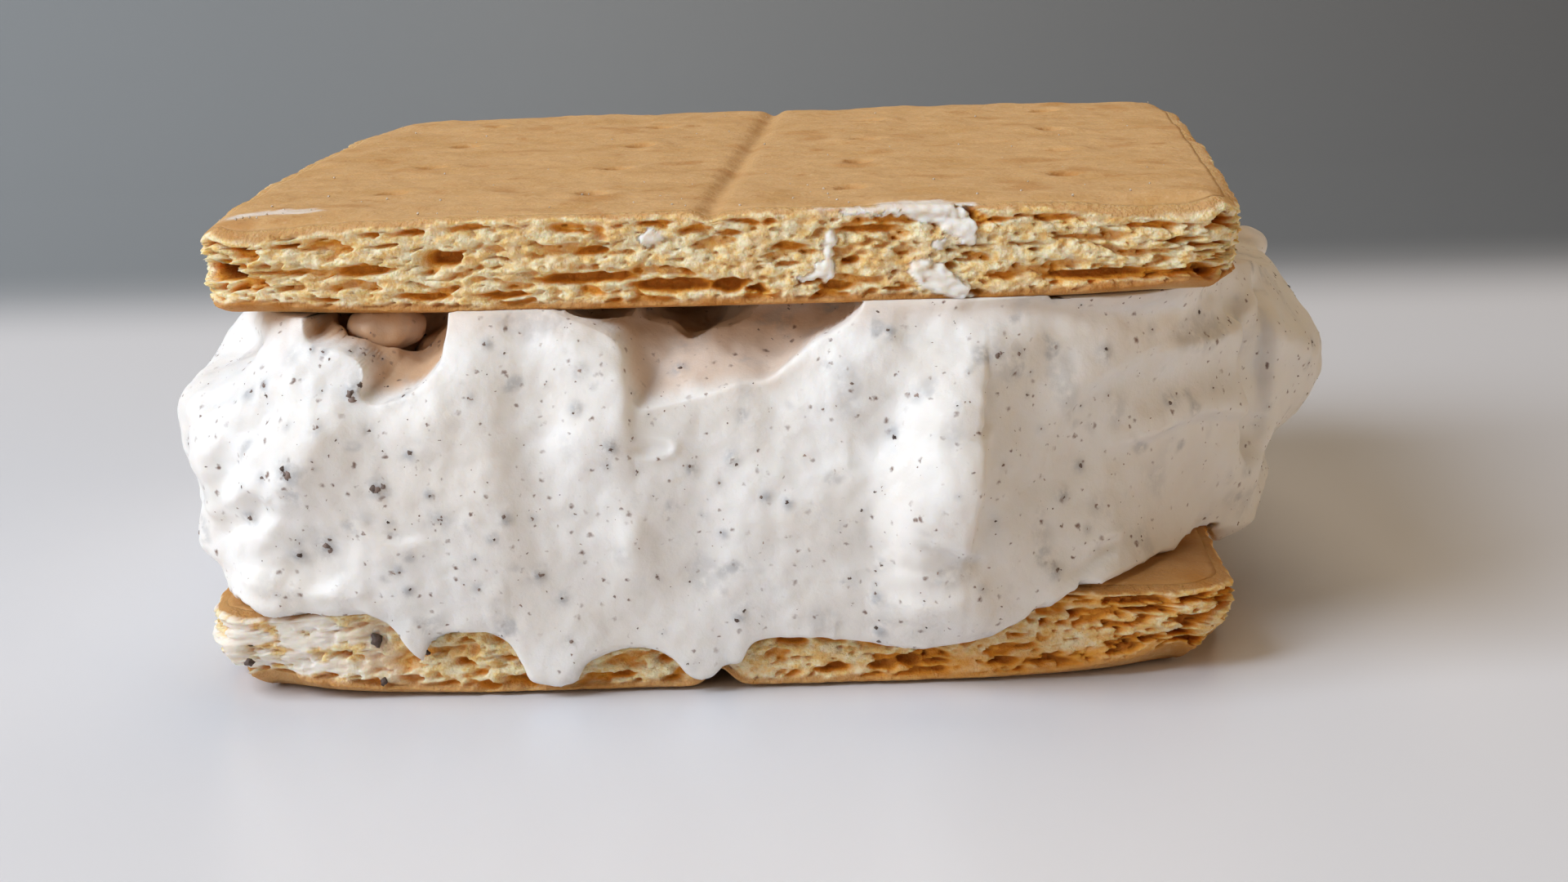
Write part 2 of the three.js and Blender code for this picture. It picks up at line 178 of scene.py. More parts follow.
def wrappedSheet(name, columns, rows):
    # a sheet to be laid round a piece: each point's share of a turn, and its row; welded once it is laid
    form = bmesh.new()
    bmesh.ops.create_grid(form, x_segments=columns, y_segments=rows - 1, size=1)
    mesh = meshFrom(form, name)
    flat = readPoints(mesh)
    turns = (np.rint((flat[:, 0] + 1) / 2 * columns) / columns) % 1.0
    return mesh, turns, np.rint((flat[:, 1] + 1) / 2 * (rows - 1)).astype(int)


def cutWith(body, tool, operation):
    # body and tool are meshes, and so is the result
    bodyObject, toolObject = addObject("body", body), addObject("tool", tool)
    cut = bodyObject.modifiers.new("cut", "BOOLEAN")
    cut.operation = operation
    cut.solver = "MANIFOLD"
    cut.object = toolObject
    bpy.context.view_layer.update()
    graph = bpy.context.evaluated_depsgraph_get()
    result = bpy.data.meshes.new_from_object(bodyObject.evaluated_get(graph))
    for each in (bodyObject, toolObject):
        bpy.data.objects.remove(each)
    return result


# material helpers


def setSocket(tree, socket, value):
    # the value is another socket to link, a number, or a colour or vector
    if isinstance(value, bpy.types.NodeSocket):
        tree.links.new(value, socket)
    elif socket.type == "RGBA":
        socket.default_value = (*value, 1)
    else:
        socket.default_value = value


def addNode(tree, kind, **values):
    # a value goes to the input of its name, or is a setting of the node
    node = tree.nodes.new("ShaderNode" + kind)
    for name, value in values.items():
        inputName = name.replace("_", " ")
        if inputName in node.inputs:
            setSocket(tree, node.inputs[inputName], value)
        else:
            setattr(node, name, value)
    return node


def startMaterial(name, shaderValues):
    material = bpy.data.materials.new(name)
    material.use_nodes = True
    tree = material.node_tree
    for key, value in shaderValues.items():
        tree.nodes["Principled BSDF"].inputs[key].default_value = value
    return material, tree, addNode(tree, "TexCoord").outputs["Object"]


def noiseNode(tree, place, perMetre, detail=3.0, roughness=0.55):
    node = addNode(tree, "TexNoise", Vector=place, Scale=perMetre, Detail=detail, Roughness=roughness)
    return node.outputs["Fac"]


def stretched(tree, place, scale):
    return addNode(tree, "Mapping", Vector=place, Scale=scale).outputs["Vector"]


def rampNode(tree, share, stops):
    node = addNode(tree, "ValToRGB", Fac=share)
    elements = node.color_ramp.elements
    while len(elements) < len(stops):
        elements.new(0.5)
    for element, (position, colour) in zip(elements, stops):
        element.position = position
        element.color = (*colour, 1)
    return node.outputs["Color"]


def maskNode(tree, share, low, high):
    node = addNode(tree, "MapRange", interpolation_type="SMOOTHSTEP", Value=share)
    node.inputs["From Min"].default_value = low
    node.inputs["From Max"].default_value = high
    return node.outputs["Result"]


def noiseMask(tree, place, limits, *noiseValues):
    return maskNode(tree, noiseNode(tree, place, *noiseValues), *limits)


def mixColour(tree, share, first, second):
    node = addNode(tree, "Mix", data_type="RGBA")
    for index, value in ((0, share), (6, first), (7, second)):
        setSocket(tree, node.inputs[index], value)
    return node.outputs[2]


def mathNode(tree, operation, first, second):
    node = addNode(tree, "Math", operation=operation)
    setSocket(tree, node.inputs[0], first)
    setSocket(tree, node.inputs[1], second)
    return node.outputs[0]


def attributeShare(tree, name):
    return addNode(tree, "Attribute", attribute_name=name).outputs["Fac"]


def finishShader(tree, place, colour, bumps, share=None):
    # bumps are given as noise per metre, its detail and roughness, depth in metres and strength
    shader = tree.nodes["Principled BSDF"]
    tree.links.new(colour, shader.inputs["Base Color"])
    before = None
    for perMetre, detail, roughness, depth, strength in bumps:
        height = noiseNode(tree, place, perMetre, detail, roughness)
        if share is not None:
            height = mathNode(tree, "MULTIPLY", height, share)
        node = addNode(tree, "Bump", Height=height, Distance=depth, Strength=strength)
        if before is not None:
            tree.links.new(before, node.inputs["Normal"])
        before = node.outputs["Normal"]
        tree.links.new(before, shader.inputs["Normal"])


# finishes; sizes of noise are per metre, and limits are where a patch starts and is full

creamLook = {
    "shader": {
        "Roughness": 0.5,
        "Subsurface Weight": 0.45,
        "Subsurface Radius": (1.0, 0.78, 0.6),
        "Subsurface Scale": 0.0011,
        "Specular IOR Level": 0.35,
    },
    "base": (0.84, 0.818, 0.79),
    "warm": (0.80, 0.76, 0.71),
    "warmPatches": ((0.35, 0.7), 160),
    "stain": (0.36, 0.365, 0.38),
    "stainGrain": ((0.25, 0.6), 1500),
    # painted shade, warm with bounce light from the crackers, for the recesses and the strip under the top
    # cracker
    "paintedShade": (0.62, 0.385, 0.22),
    "fleck": (0.22, 0.135, 0.105),
    # cells per metre, size of a fleck, and how few cells have one
    "fleckLayers": [(520.0, 0.11, 0.3), (800.0, 0.15, 0.3), (1300.0, 0.17, 0.4)],
    "fleckEdge": (1.3, 0.2),
    "raggedness": (2600.0, 0.0005),
    "bumps": [(420, 3.0, 0.55, 0.0003, 0.35), (1900, 4.0, 0.65, 0.00014, 0.35)],
}


def creamColour(tree, place):
    patches = noiseMask(tree, place, *creamLook["warmPatches"])
    return mixColour(tree, patches, creamLook["base"], creamLook["warm"])


def raggedPlace(tree, place):
    perMetre, shift = creamLook["raggedness"]
    ragged = addNode(tree, "TexNoise", Vector=place, Scale=perMetre, Detail=2.0)
    shifted = addNode(tree, "VectorMath", operation="MULTIPLY_ADD")
    for socket, value in zip(shifted.inputs, (ragged.outputs["Color"], (shift, shift, shift), place)):
        setSocket(tree, socket, value)
    return shifted.outputs["Vector"]


def makeCream():
    material, tree, place = startMaterial("whippedCream", creamLook["shader"])
    # painted shade, warm with the crackers' bounce light, in the recesses and under the top cracker
    colour = mixColour(tree, attributeShare(tree, "paintedShade"), creamColour(tree, place), creamLook["paintedShade"])
    # crumbs that lie under the surface show as soft grey patches
    grain = noiseMask(tree, place, *creamLook["stainGrain"])
    stain = mathNode(tree, "MULTIPLY", attributeShare(tree, "stain"), grain)
    colour = mixColour(tree, stain, colour, creamLook["stain"])
    # cookie dust, finer than the modelled crumbs
    ragged = raggedPlace(tree, place)
    outer, inner = creamLook["fleckEdge"]
    for perMetre, size, share in creamLook["fleckLayers"]:
        cells = addNode(tree, "TexVoronoi", Vector=ragged, Scale=perMetre)
        near = maskNode(tree, cells.outputs["Distance"], size * outer, size * inner)
        picker = addNode(tree, "SeparateColor", Color=cells.outputs["Color"])
        strength = maskNode(tree, picker.outputs["Red"], share, 1.0)
        colour = mixColour(tree, mathNode(tree, "MULTIPLY", near, strength), colour, creamLook["fleck"])
    finishShader(tree, place, colour, creamLook["bumps"])
    return material


crustLook = {
    "shader": {
        "Roughness": 0.62,
        "Subsurface Weight": 0.12,
        "Subsurface Radius": (1.0, 0.5, 0.2),
        "Subsurface Scale": 0.0009,
        "Specular IOR Level": 0.3,
    },
    "pale": (0.60, 0.355, 0.15),
    "golden": (0.53, 0.29, 0.1),
    "broad": (130, 4.0, 0.6),
    "toasted": (0.42, 0.17, 0.03),
    "blotchGrains": ((0.56, 0.74), 420, 5.0, 0.65),
    "blotchShare": 0.6,
    "meal": (0.66, 0.45, 0.25),
    "mealGrains": ((0.58, 0.7), 2400, 2.0),
    "mealShare": 0.45,
    "bumps": [(700, 4.0, 0.55, 0.0003, 0.6), (3000, 3.0, 0.55, 0.0001, 0.7)],
}


def crustColour(tree, place):
    golden, pale = crustLook["golden"], crustLook["pale"]
    broad = noiseNode(tree, place, *crustLook["broad"])
    colour = rampNode(tree, broad, [(0.3, golden), (0.52, pale), (0.72, golden)])
    for name, patchColour in (("blotch", "toasted"), ("meal", "meal")):
        patch = noiseMask(tree, place, *crustLook[name + "Grains"])
        patch = mathNode(tree, "MULTIPLY", patch, crustLook[name + "Share"])
        colour = mixColour(tree, patch, colour, crustLook[patchColour])
    return colour


def toastedCrust(tree, place):
    return mixColour(tree, attributeShare(tree, "toast"), crustColour(tree, place), crustLook["toasted"])


def makeCrust():
    material, tree, place = startMaterial("bakedCrust", crustLook["shader"])
    smear = attributeShare(tree, "smear")
    colour = mixColour(tree, smear, toastedCrust(tree, place), creamColour(tree, place))
    finishShader(tree, place, colour, crustLook["bumps"])
    return material


crumbLook = {
    "shader": {
        "Roughness": 0.7,
        "Subsurface Weight": 0.35,
        "Subsurface Radius": (1.0, 0.5, 0.18),
        "Subsurface Scale": 0.0012,
        "Specular IOR Level": 0.25,
    },
    "tan": (0.76, 0.44, 0.14),
    "middle": (0.83, 0.60, 0.28),
    "pale": (0.87, 0.76, 0.52),
    "grainStretch": (1.0, 1.0, 1.35),
    "grain": (1100, 5.0, 0.65),
    "patchStretch": (1.0, 1.0, 1.6),
    "patches": ((0.5, 0.68), 340, 4.0),
    "patchShare": 0.55,
    # amber and deep brown by the pocket share: painted shade with warm bounce light deep in the pockets,
    # and the browner baked crumb beside the crusts
    "amber": (0.78, 0.34, 0.04),
    "amberDepth": (0.22, 0.7),
    "deep": (0.46, 0.16, 0.016),
    "deepDepth": (0.6, 1.0),
    "bumps": [(1700, 4.0, 0.6, 0.0003, 0.8), (5200, 2.0, 0.55, 0.00012, 0.8)],
}


def makeCrumb():
    material, tree, place = startMaterial("flakyCrumb", crumbLook["shader"])
    tan, middle, pale = crumbLook["tan"], crumbLook["middle"], crumbLook["pale"]
    grain = noiseNode(tree, stretched(tree, place, crumbLook["grainStretch"]), *crumbLook["grain"])
    colour = rampNode(tree, grain, [(0.32, tan), (0.44, middle), (0.58, pale)])
    patch = noiseMask(tree, stretched(tree, place, crumbLook["patchStretch"]), *crumbLook["patches"])
    colour = mixColour(tree, mathNode(tree, "MULTIPLY", patch, crumbLook["patchShare"]), colour, tan)
    colour = mixColour(tree, attributeShare(tree, "crustShare"), colour, toastedCrust(tree, place))
    pocket, smear = attributeShare(tree, "pocket"), attributeShare(tree, "smear")
    # the pockets darken to amber and deep brown with their depth: painted shade with warm bounce light,
    # plus the baked colour beside the crusts
    for tint in ("amber", "deep"):
        share = maskNode(tree, pocket, *crumbLook[tint + "Depth"])
        colour = mixColour(tree, share, colour, crumbLook[tint])
    colour = mixColour(tree, smear, colour, creamColour(tree, place))
    finishShader(tree, place, colour, crumbLook["bumps"], mathNode(tree, "SUBTRACT", 1.0, smear))
    return material


cookieLook = {
    "shader": {"Roughness": 0.6, "Specular IOR Level": 0.35},
    "dark": (0.022, 0.014, 0.011),
    "brown": (0.11, 0.07, 0.055),
    "pale": (0.42, 0.31, 0.26),
    "bumps": [(5200, 2.0, 0.55, 0.0001, 0.8)],
}
sugarLook = {
    "shader": {"Roughness": 0.22, "Transmission Weight": 0.35, "IOR": 1.5, "Specular IOR Level": 0.6},
    "shaded": (0.72, 0.62, 0.48),
    "bright": (0.90, 0.85, 0.76),
}


def makeCookie():
    material, tree, place = startMaterial("cookieCrumb", cookieLook["shader"])
    grain = noiseNode(tree, place, 2600, 4.0)
    colour = rampNode(tree, grain, [(0.35, cookieLook["dark"]), (0.7, cookieLook["brown"])])
    colour = mixColour(tree, attributeShare(tree, "tone"), colour, cookieLook["pale"])
    finishShader(tree, place, colour, cookieLook["bumps"])
    return material


def makeSugar():
    material, tree, place = startMaterial("sugar", sugarLook["shader"])
    grain = noiseNode(tree, place, 1800)
    colour = rampNode(tree, grain, [(0.3, sugarLook["shaded"]), (0.7, sugarLook["bright"])])
    finishShader(tree, place, colour, [])
    return material


cream = makeCream()
crust = makeCrust()
crumb = makeCrumb()
cookie = makeCookie()
sugar = makeSugar()
print("materials made")

# camera, floor and light

view = {
    "place": (15.27, -201.1, 52.14),
    "right": (0.99753, 0.06046, -0.03583),
    "up": (0.02224, 0.21200, 0.97702),
    "ahead": (-0.06667, 0.97540, -0.21013),
    "lens": 63.75,
    "sensor": 36,
    "clip": (0.005, 20),
}


def addCamera():
    lens = bpy.data.cameras.new("camera")
    lens.lens = view["lens"]
    lens.sensor_width = view["sensor"]
    lens.clip_start, lens.clip_end = view["clip"]
    camera = addObject("camera", lens)
    place = (Vector(view["place"]) + frameShift) * mm
    right, up, ahead = (Vector(view[key]) for key in ("right", "up", "ahead"))
    turned = Matrix((right, up, -ahead)).transposed().to_4x4()
    camera.matrix_world = Matrix.Translation(place) @ turned
    bpy.context.scene.camera = camera


studio = {
    "left": -3,
    "width": 6,
    "front": -1.2,
    "sweepStart": 0.14,
    "sweepRadius": 0.5,
    "height": 2.5,
    "shader": {"Roughness": 0.32, "Specular IOR Level": 0.4},
    "floorColour": (0.72, 0.72, 0.75),
    # the backdrop is lighter on the left and darker on the right: painted light falling from the left
    "backLeft": (0.29, 0.32, 0.35),
    "backRight": (0.086, 0.091, 0.1),
    "backAcross": (-0.3, 0.26),  # where the backdrop starts to turn to its right colour, and has turned
    "backEdge": (0.10, 0.155),  # the same for floor and backdrop
    "worldColour": (0.63, 0.64, 0.66),
    "worldStrength": 0.02,
    "aim": (0, 0, 0.015),
    "lamps": [
        # name, place, size, power, colour
        ("key", (-0.5, -0.28, 0.5), 0.5, 6.8, (0.79, 0.87, 0.97)),
        ("low", (-0.43, -0.55, 0.15), 0.3, 1.0, (1.0, 0.83, 0.65)),
        ("fill", (0.7, -0.25, 0.16), 0.6, 1.9, (1.0, 0.73, 0.44)),
        ("top", (0.05, 0.35, 0.7), 0.6, 2.2, (1.0, 0.80, 0.56)),
    ],
}


def addFloor():
    # a floor that sweeps up behind into a plain backdrop
    start, radius = studio["sweepStart"], studio["sweepRadius"]
    outline = [(studio["front"], 0), (start, 0)]
    for angle in np.linspace(0, math.pi / 2, 13)[1:]:
        outline.append((start + radius * math.sin(angle), radius * (1 - math.cos(angle))))
    outline.append((start + radius, studio["height"]))
    form = bmesh.new()
    line = [form.verts.new((studio["left"], y, z)) for y, z in outline]
    edges = [form.edges.new(pair) for pair in zip(line, line[1:])]
    extrudeAlong(form, edges, (studio["width"], 0, 0))
    bmesh.ops.recalc_face_normals(form, faces=form.faces)
    mesh = meshFrom(form, "studioFloor")
    material, tree, place = startMaterial("studioPaper", studio["shader"])
    split = addNode(tree, "SeparateXYZ", Vector=place)
    across = maskNode(tree, split.outputs["X"], *studio["backAcross"])
    behind = maskNode(tree, split.outputs["Y"], *studio["backEdge"])
    # painted light across the backdrop, lighter on the left
    back = mixColour(tree, across, studio["backLeft"], studio["backRight"])
    finishShader(tree, place, mixColour(tree, behind, studio["floorColour"], back), [])
    mesh.materials.append(material)
    mesh.shade_smooth()
    floor = addObject("studioFloor", mesh)


def addLight():
    world = bpy.data.worlds.new("studio")
    world.use_nodes = True
    background = world.node_tree.nodes["Background"]
    background.inputs["Color"].default_value = (*studio["worldColour"], 1)
    background.inputs["Strength"].default_value = studio["worldStrength"]
    bpy.context.scene.world = world
    for name, place, size, power, colour in studio["lamps"]:
        light = bpy.data.lights.new(name, "AREA")
        light.energy = power
        light.size = size
        light.color = colour
        lamp = addObject(name, light)
        lamp.location = place
        lamp.rotation_euler = (Vector(studio["aim"]) - lamp.location).to_track_quat("-Z", "Y").to_euler()
    bpy.context.scene.view_settings.view_transform = "Standard"


addCamera()
addFloor()
addLight()
print("camera and studio ready")

# filling

filling = {
    "columns": 680,
    "sideRows": 120,
    "bellyHeight": 13.4,
    "browSlope": 0.5,
    "frontBrow": 24.56,
    "frontBrowFrom": -32.4,
    "footReach": 0.9,
    "topReach": 0.75,
    "overhang": 1.0,  # the foot's least reach past the cracker where the hem hangs
    "hemRise": 1.0,
    "hemFade": 3.0,
    "hemShare": 0.24,
    "lowestDrip": 0.5,
    "roomGap": 0.12,
    "roomSegments": 8,
    "ceiling": 24.22,
    "wellInFront": -60,
    # foot x, y, z, belly x, y and brow x, y, round the filling from the front left corner
    "stations": [
        (-30.6, -34.9, 6.4, -32.8, -32.4, -27.6, -30.8),
        (-27.2, -35.3, 5.9, -29.0, -35.4, -25.4, -32.5),
        (-23.2, -35.2, 5.8, -24.2, -36.7, -22.6, -32.9),
        (-19.2, -35.0, 4.3, -19.4, -36.9, -18.6, -33.0),
        (-15.2, -34.9, 3.8, -15.0, -36.9, -14.8, -33.0),
        (-11.2, -34.7, 3.4, -11.0, -36.7, -11.0, -33.0),
        (-7.0, -34.5, 2.9, -7.0, -36.4, -7.0, -33.0),
        (-3.0, -34.3, 3.0, -3.0, -36.2, -3.0, -33.0),
        (1.0, -34.2, 3.1, 1.0, -36.0, 1.0, -33.0),
        (5.0, -34.1, 3.0, 5.0, -35.9, 5.0, -33.0),
        (9.0, -34.0, 2.5, 8.8, -36.2, 8.8, -33.0),
        (13.0, -34.0, 2.1, 12.6, -37.2, 12.6, -33.1),
        (17.0, -34.0, 3.2, 16.2, -36.4, 16.4, -33.0),
        (21.2, -33.4, 5.7, 19.6, -33.4, 20.0, -32.8),
        (25.0, -30.6, 6.4, 23.4, -30.2, 24.2, -31.6),
        (28.2, -25.0, 6.4, 27.2, -26.4, 28.6, -28.6),
        (30.6, -19.4, 6.2, 31.6, -21.6, 31.6, -22.0),
        (34.4, -13.6, 4.9, 36.4, -15.0, 33.4, -16.0),
        (34.4, -5.0, 4.2, 39.6, -5.6, 36.4, -7.0),
        (34.2, 6.0, 4.8, 38.6, 6.0, 35.8, 5.0),
        (33.6, 18.0, 4.2, 36.4, 18.4, 32.8, 18.0),
        (28.0, 31.2, 5.6, 30.6, 32.4, 27.6, 29.8),
        (13.0, 34.6, 3.6, 14.0, 36.0, 13.0, 32.0),
        (-4.0, 34.4, 4.8, -4.0, 35.0, -4.0, 31.6),
        (-20.0, 34.0, 3.6, -21.0, 35.4, -19.0, 31.6),
        (-34.6, 24.0, 5.2, -35.8, 24.6, -31.4, 24.0),
        (-36.0, 8.0, 4.2, -37.6, 8.0, -32.2, 8.0),
        (-35.8, -9.0, 5.2, -38.0, -9.0, -32.2, -9.0),
        (-33.9, -24.0, 6.2, -36.2, -24.4, -30.8, -23.0),
    ],
    # x and height of the hem with its drips, along the front
    "hem": [
        (-31.5, 6.6), (-29.4, 6.1), (-26.8, 5.9), (-24.2, 6.0), (-22.6, 5.7), (-21.4, 4.8), (-20.5, 3.4),
        (-19.9, 2.3), (-19.3, 2.4), (-18.9, 3.5), (-17.6, 4.3), (-16.0, 4.5), (-14.6, 4.1), (-13.6, 3.2),
        (-13.1, 1.9), (-12.5, 0.5), (-9.9, 0.5), (-9.5, 1.5), (-8.7, 2.5), (-7.2, 3.0), (-5.4, 3.1),
        (-4.1, 2.6), (-3.2, 1.6), (-2.6, 0.6), (-1.2, 0.6), (-0.5, 1.4), (0.3, 1.5), (0.9, 1.9), (1.4, 3.0),
        (2.4, 3.5), (5.5, 3.2), (9.0, 2.8), (12.1, 2.4), (14.6, 2.6), (17.7, 3.9), (20.7, 5.8), (23.2, 6.4),
    ],
    # spatula strokes: start, end, radius, push
    "strokes": [
        ((-31, -33, 17), (-33, -29, 15), 3.4, (-0.5, -0.5, 0)),
        ((-32, -30, 18.5), (-34, -26, 18.1), 1.7, (-1.1, -0.5, 0)),
        ((-31, -30, 21.9), (-33, -26, 21.5), 1.9, (1.3, 1.0, 0)),
        ((-34, -30, 13.2), (-35.5, -27, 12.6), 1.6, (0.6, 0.4, 0)),
        ((-33, -31, 9.4), (-35, -27, 9.8), 1.4, (-0.5, -0.4, 0)),
        ((34.4, -19.5, 23), (35.0, -17.5, 12), 1.5, (-1.9, 1.2, 0)),
        ((35.5, -16, 19), (37, -12, 17.5), 1.9, (0.8, -0.8, 0)),
        ((35.5, -14.5, 13.6), (38, -6, 13.0), 1.1, (-0.9, 0.5, 0)),
        ((-31.5, -33, 9.5), (-27, -36, 8.5), 2.4, (0.6, 0.8, 0)),
        ((-26.5, -35, 20), (-25, -36.5, 16), 2.6, (-0.2, -0.5, 0)),
        ((-15, -34, 23), (-17.5, -35.5, 18.5), 2.4, (0, -0.9, 0)),
        ((-9.4, -34, 22), (-8, -36, 17), 2.6, (-0.2, -0.8, 0)),
        ((9, -34, 22), (7, -35.5, 19), 2.4, (0, -0.8, 0)),
        ((20, -31.5, 22.4), (31, -22, 22.8), 1.6, (-0.5, 0.7, 0)),
        ((39, -9, 17.5), (39.6, -4, 15.5), 3.6, (1.0, -0.4, 0)),
        ((37.5, -13, 9.6), (39, 6, 10), 2.6, (-2.2, 0.2, 0)),
        ((36, 15, 18), (33, 27, 12), 2.8, (1.0, 0.4, 0)),
        ((24, 34, 17), (8, 36, 13), 2.6, (0, 1.0, 0)),
        ((10, 35, 9), (-8, 35, 10.5), 2.4, (0, -0.8, 0)),
        ((-8, 35, 18.5), (-26, 34, 14), 2.6, (0, 1.0, 0)),
        ((-35, 24, 18), (-37, 8, 14), 2.8, (-0.6, 0, 0)),
        ((-37, 8, 10), (-37.5, -4, 12), 2.2, (0.9, 0, 0)),
        ((-36, -2, 19), (-38, -16, 15), 2.6, (-0.5, 0, 0)),
    ],
    # folds that show from the front: a line of x, z and height, and the widths left and right of it
    "folds": [
        ([(-28.5, 7.7, 0.2), (-28.5, 10.3, 0.5), (-27.2, 13.9, 0.7), (-25.6, 16.7, 0.9),
          (-22.5, 19.3, 0.5)], 2.4, 2.4),
        ([(-32.3, 12.9, -0.5), (-31.2, 15.6, -0.8), (-30.6, 17.2, -0.3)], 1.2, 1.2),
        ([(-29.0, 17.8, -0.5), (-27.9, 19.1, -0.6)], 1.1, 1.1),
        ([(-32.7, 10.5, -0.3), (-30.4, 11.9, -0.8), (-29.1, 12.8, -0.8)], 1.0, 1.3),
        ([(-32.9, 12.2, 0.2), (-30.6, 13.6, 0.3), (-29.0, 14.4, 0.1)], 1.0, 0.6),
        ([(-32.4, 9.6, 0.2), (-30.2, 10.7, 0.3), (-28.4, 11.8, 0.1)], 0.6, 1.0),
        ([(-30.6, 8.2, 0.3), (-27.6, 7.4, 0.4), (-23.2, 7.2, 0.3)], 0.9, 0.6),
        ([(-33.3, 18.9, -0.6), (-31.4, 19.5, -0.5), (-29.6, 20.5, -0.2)], 0.9, 0.8),
        ([(-25.4, 10.5, -0.5), (-24.4, 10.1, -0.5)], 1.9, 1.9),
        ([(-21.6, 11.9, -0.2), (-20.6, 11.3, -0.35), (-19.6, 11.1, -0.3), (-18.4, 11.4, -0.1)], 0.6, 0.4),
        ([(-20.8, 11.0, 0.1), (-19.6, 10.6, 0.2), (-18.6, 10.9, 0.1)], 0.4, 0.9),
        ([(-13.7, 9.0, 0.2), (-14.0, 16.2, 0.45), (-14.0, 19.0, 0.45), (-13.2, 23.2, 0.2)], 2.8, 1.3),
        ([(-11.3, 9.5, -0.2), (-11.3, 14.1, -0.45), (-11.2, 18.9, -0.45), (-10.8, 22.6, -0.2)], 1.8, 2.4),
        ([(-5.6, 16.8, 0.2), (-5.9, 18.8, 0.7), (-6.1, 20.6, 0.6), (-7.1, 22.0, 0.3), (-9.0, 22.9, 0.2)],
         1.7, 0.5),
        ([(-22.6, 22.4, 0.3), (-20.5, 22.3, 0.8), (-18.8, 21.7, 0.5)], 0.5, 1.0),
        ([(-5.9, 8.6, 0.2), (-5.4, 10.7, 0.6), (-5.7, 12.6, 0.2)], 1.3, 1.2),
        ([(-2.2, 6.3, -0.3), (-1.8, 9.5, -0.65), (-1.7, 12.6, -0.55), (-1.0, 15.1, -0.3)], 2.2, 2.2),
        ([(7.0, 5.8, 0.2), (7.4, 8.8, 0.3), (7.6, 11.6, 0.3), (7.8, 13.7, 0.1)], 3.0, 1.4),
        ([(8.6, 8.3, -0.2), (8.8, 11.6, -0.35), (9.4, 14.5, -0.3), (10.4, 16.3, -0.1)], 2.2, 2.5),
        ([(14.6, 8.6, 0.4), (14.6, 10.4, 1.9), (14.9, 12.6, 2.6), (15.3, 14.8, 2.4), (15.6, 16.6, 1.2)],
         3.8, 0.7),
        ([(12.0, 16.0, 0.2), (13.6, 18.0, 0.5), (15.2, 20.2, 0.6), (16.4, 22.4, 0.5), (17.0, 24.0, 0.3)],
         3.0, 2.4),
        ([(10.5, 16.6, -0.5), (10.9, 18.8, -0.5)], 1.1, 1.1),
        ([(13.2, 9.9, -0.4), (14.3, 9.4, -0.6), (15.5, 8.7, -0.3)], 0.3, 0.8),
        ([(14.4, 3.0, 0.4), (14.9, 5.6, 1.2), (14.8, 7.6, 0.5)], 3.2, 1.6),
        ([(20.0, 15.1, 0.2), (20.4, 16.9, 0.6), (21.8, 18.7, 0.8), (23.3, 19.7, 0.8), (25.7, 20.1, 0.4)],
         1.6, 0.9),
        ([(26.0, 19.7, 0.2), (28.5, 20.0, 0.8), (32.0, 19.8, 0.9), (34.9, 21.1, 0.5)], 0.8, 1.8),
        ([(23.3, 14.6, 0.1), (26.2, 14.9, 0.9), (28.5, 15.6, 1.1), (30.9, 15.6, 1.0), (34.4, 13.6, 0.4)],
         2.0, 0.6),
        ([(22.5, 8.6, 0.1), (23.7, 8.9, 0.4), (24.6, 8.9, 0.35)], 0.5, 0.2),
        ([(21.2, 7.0, -0.1), (23.0, 7.6, -0.5), (24.0, 8.3, -0.5)], 0.4, 0.4),
        ([(35.0, 11.2, -0.4), (34.8, 16.0, -1.1), (35.0, 21.5, -1.1)], 1.0, 1.0),
        ([(15.8, 24.0, -0.5), (19.1, 23.9, -0.8), (23.8, 23.3, -0.8), (28.7, 22.5, -0.7)], 0.8, 1.0),
    ],
    # scoops with a lip, hollow on the left of it: where the hollow is at a height, how far back it goes per
    # millimetre of height, and a line of x, z, more depth and softness of the lip
    "scoops": [
        (19.0, -33.1, 1.0, [
            (-10.4, 24.6, 0.0, 2.0), (-8.6, 23.8, 0.0, 1.6), (-6.9, 23.2, 0.0, 1.0), (-6.1, 22.2, 0.2, 0.7),
            (-5.7, 21.0, 0.3, 0.6), (-5.4, 19.7, 0.3, 0.7), (-5.0, 18.8, 0.2, 0.8), (-4.2, 18.7, 0.1, 1.2),
            (-2.2, 19.1, 0.0, 1.8), (-0.2, 19.5, 0.0, 1.6), (1.5, 20.0, 0.0, 0.9), (3.1, 20.0, 0.1, 0.5),
            (4.5, 21.0, 0.1, 0.35), (5.9, 22.2, 0.2, 0.3), (7.7, 23.1, 0.4, 0.3), (8.9, 24.1, 0.6, 0.3),
            (9.3, 25.4, 0.6, 0.3),
        ]),
        (20.0, -32.8, 1.2, [
            (-26.4, 25.2, -0.9, 0.8), (-26.1, 24.0, -0.8, 0.8), (-25.6, 22.9, -0.6, 0.6),
            (-24.4, 22.6, -0.4, 0.5), (-22.9, 22.4, -0.2, 0.5), (-22.0, 22.0, 0.0, 0.7),
            (-21.7, 21.1, 0.0, 1.1), (-22.1, 20.2, 0.0, 1.4), (-21.5, 19.6, 0.0, 1.2),
            (-20.2, 19.5, 0.0, 0.8), (-18.9, 20.0, 0.2, 0.5), (-18.0, 20.5, 0.4, 0.35),
            (-17.1, 21.5, 0.6, 0.3), (-16.8, 22.5, 0.8, 0.3), (-16.7, 24.0, 0.8, 0.3),
            (-16.6, 25.4, 0.8, 0.3),
        ]),
    ],
    "lipPull": 0.3,
    "lipBlend": 0.8,
    "deepest": -27.0,
    # place and half sizes of the hollows under the top cracker, and how much each is pinched below
    "hollows": [
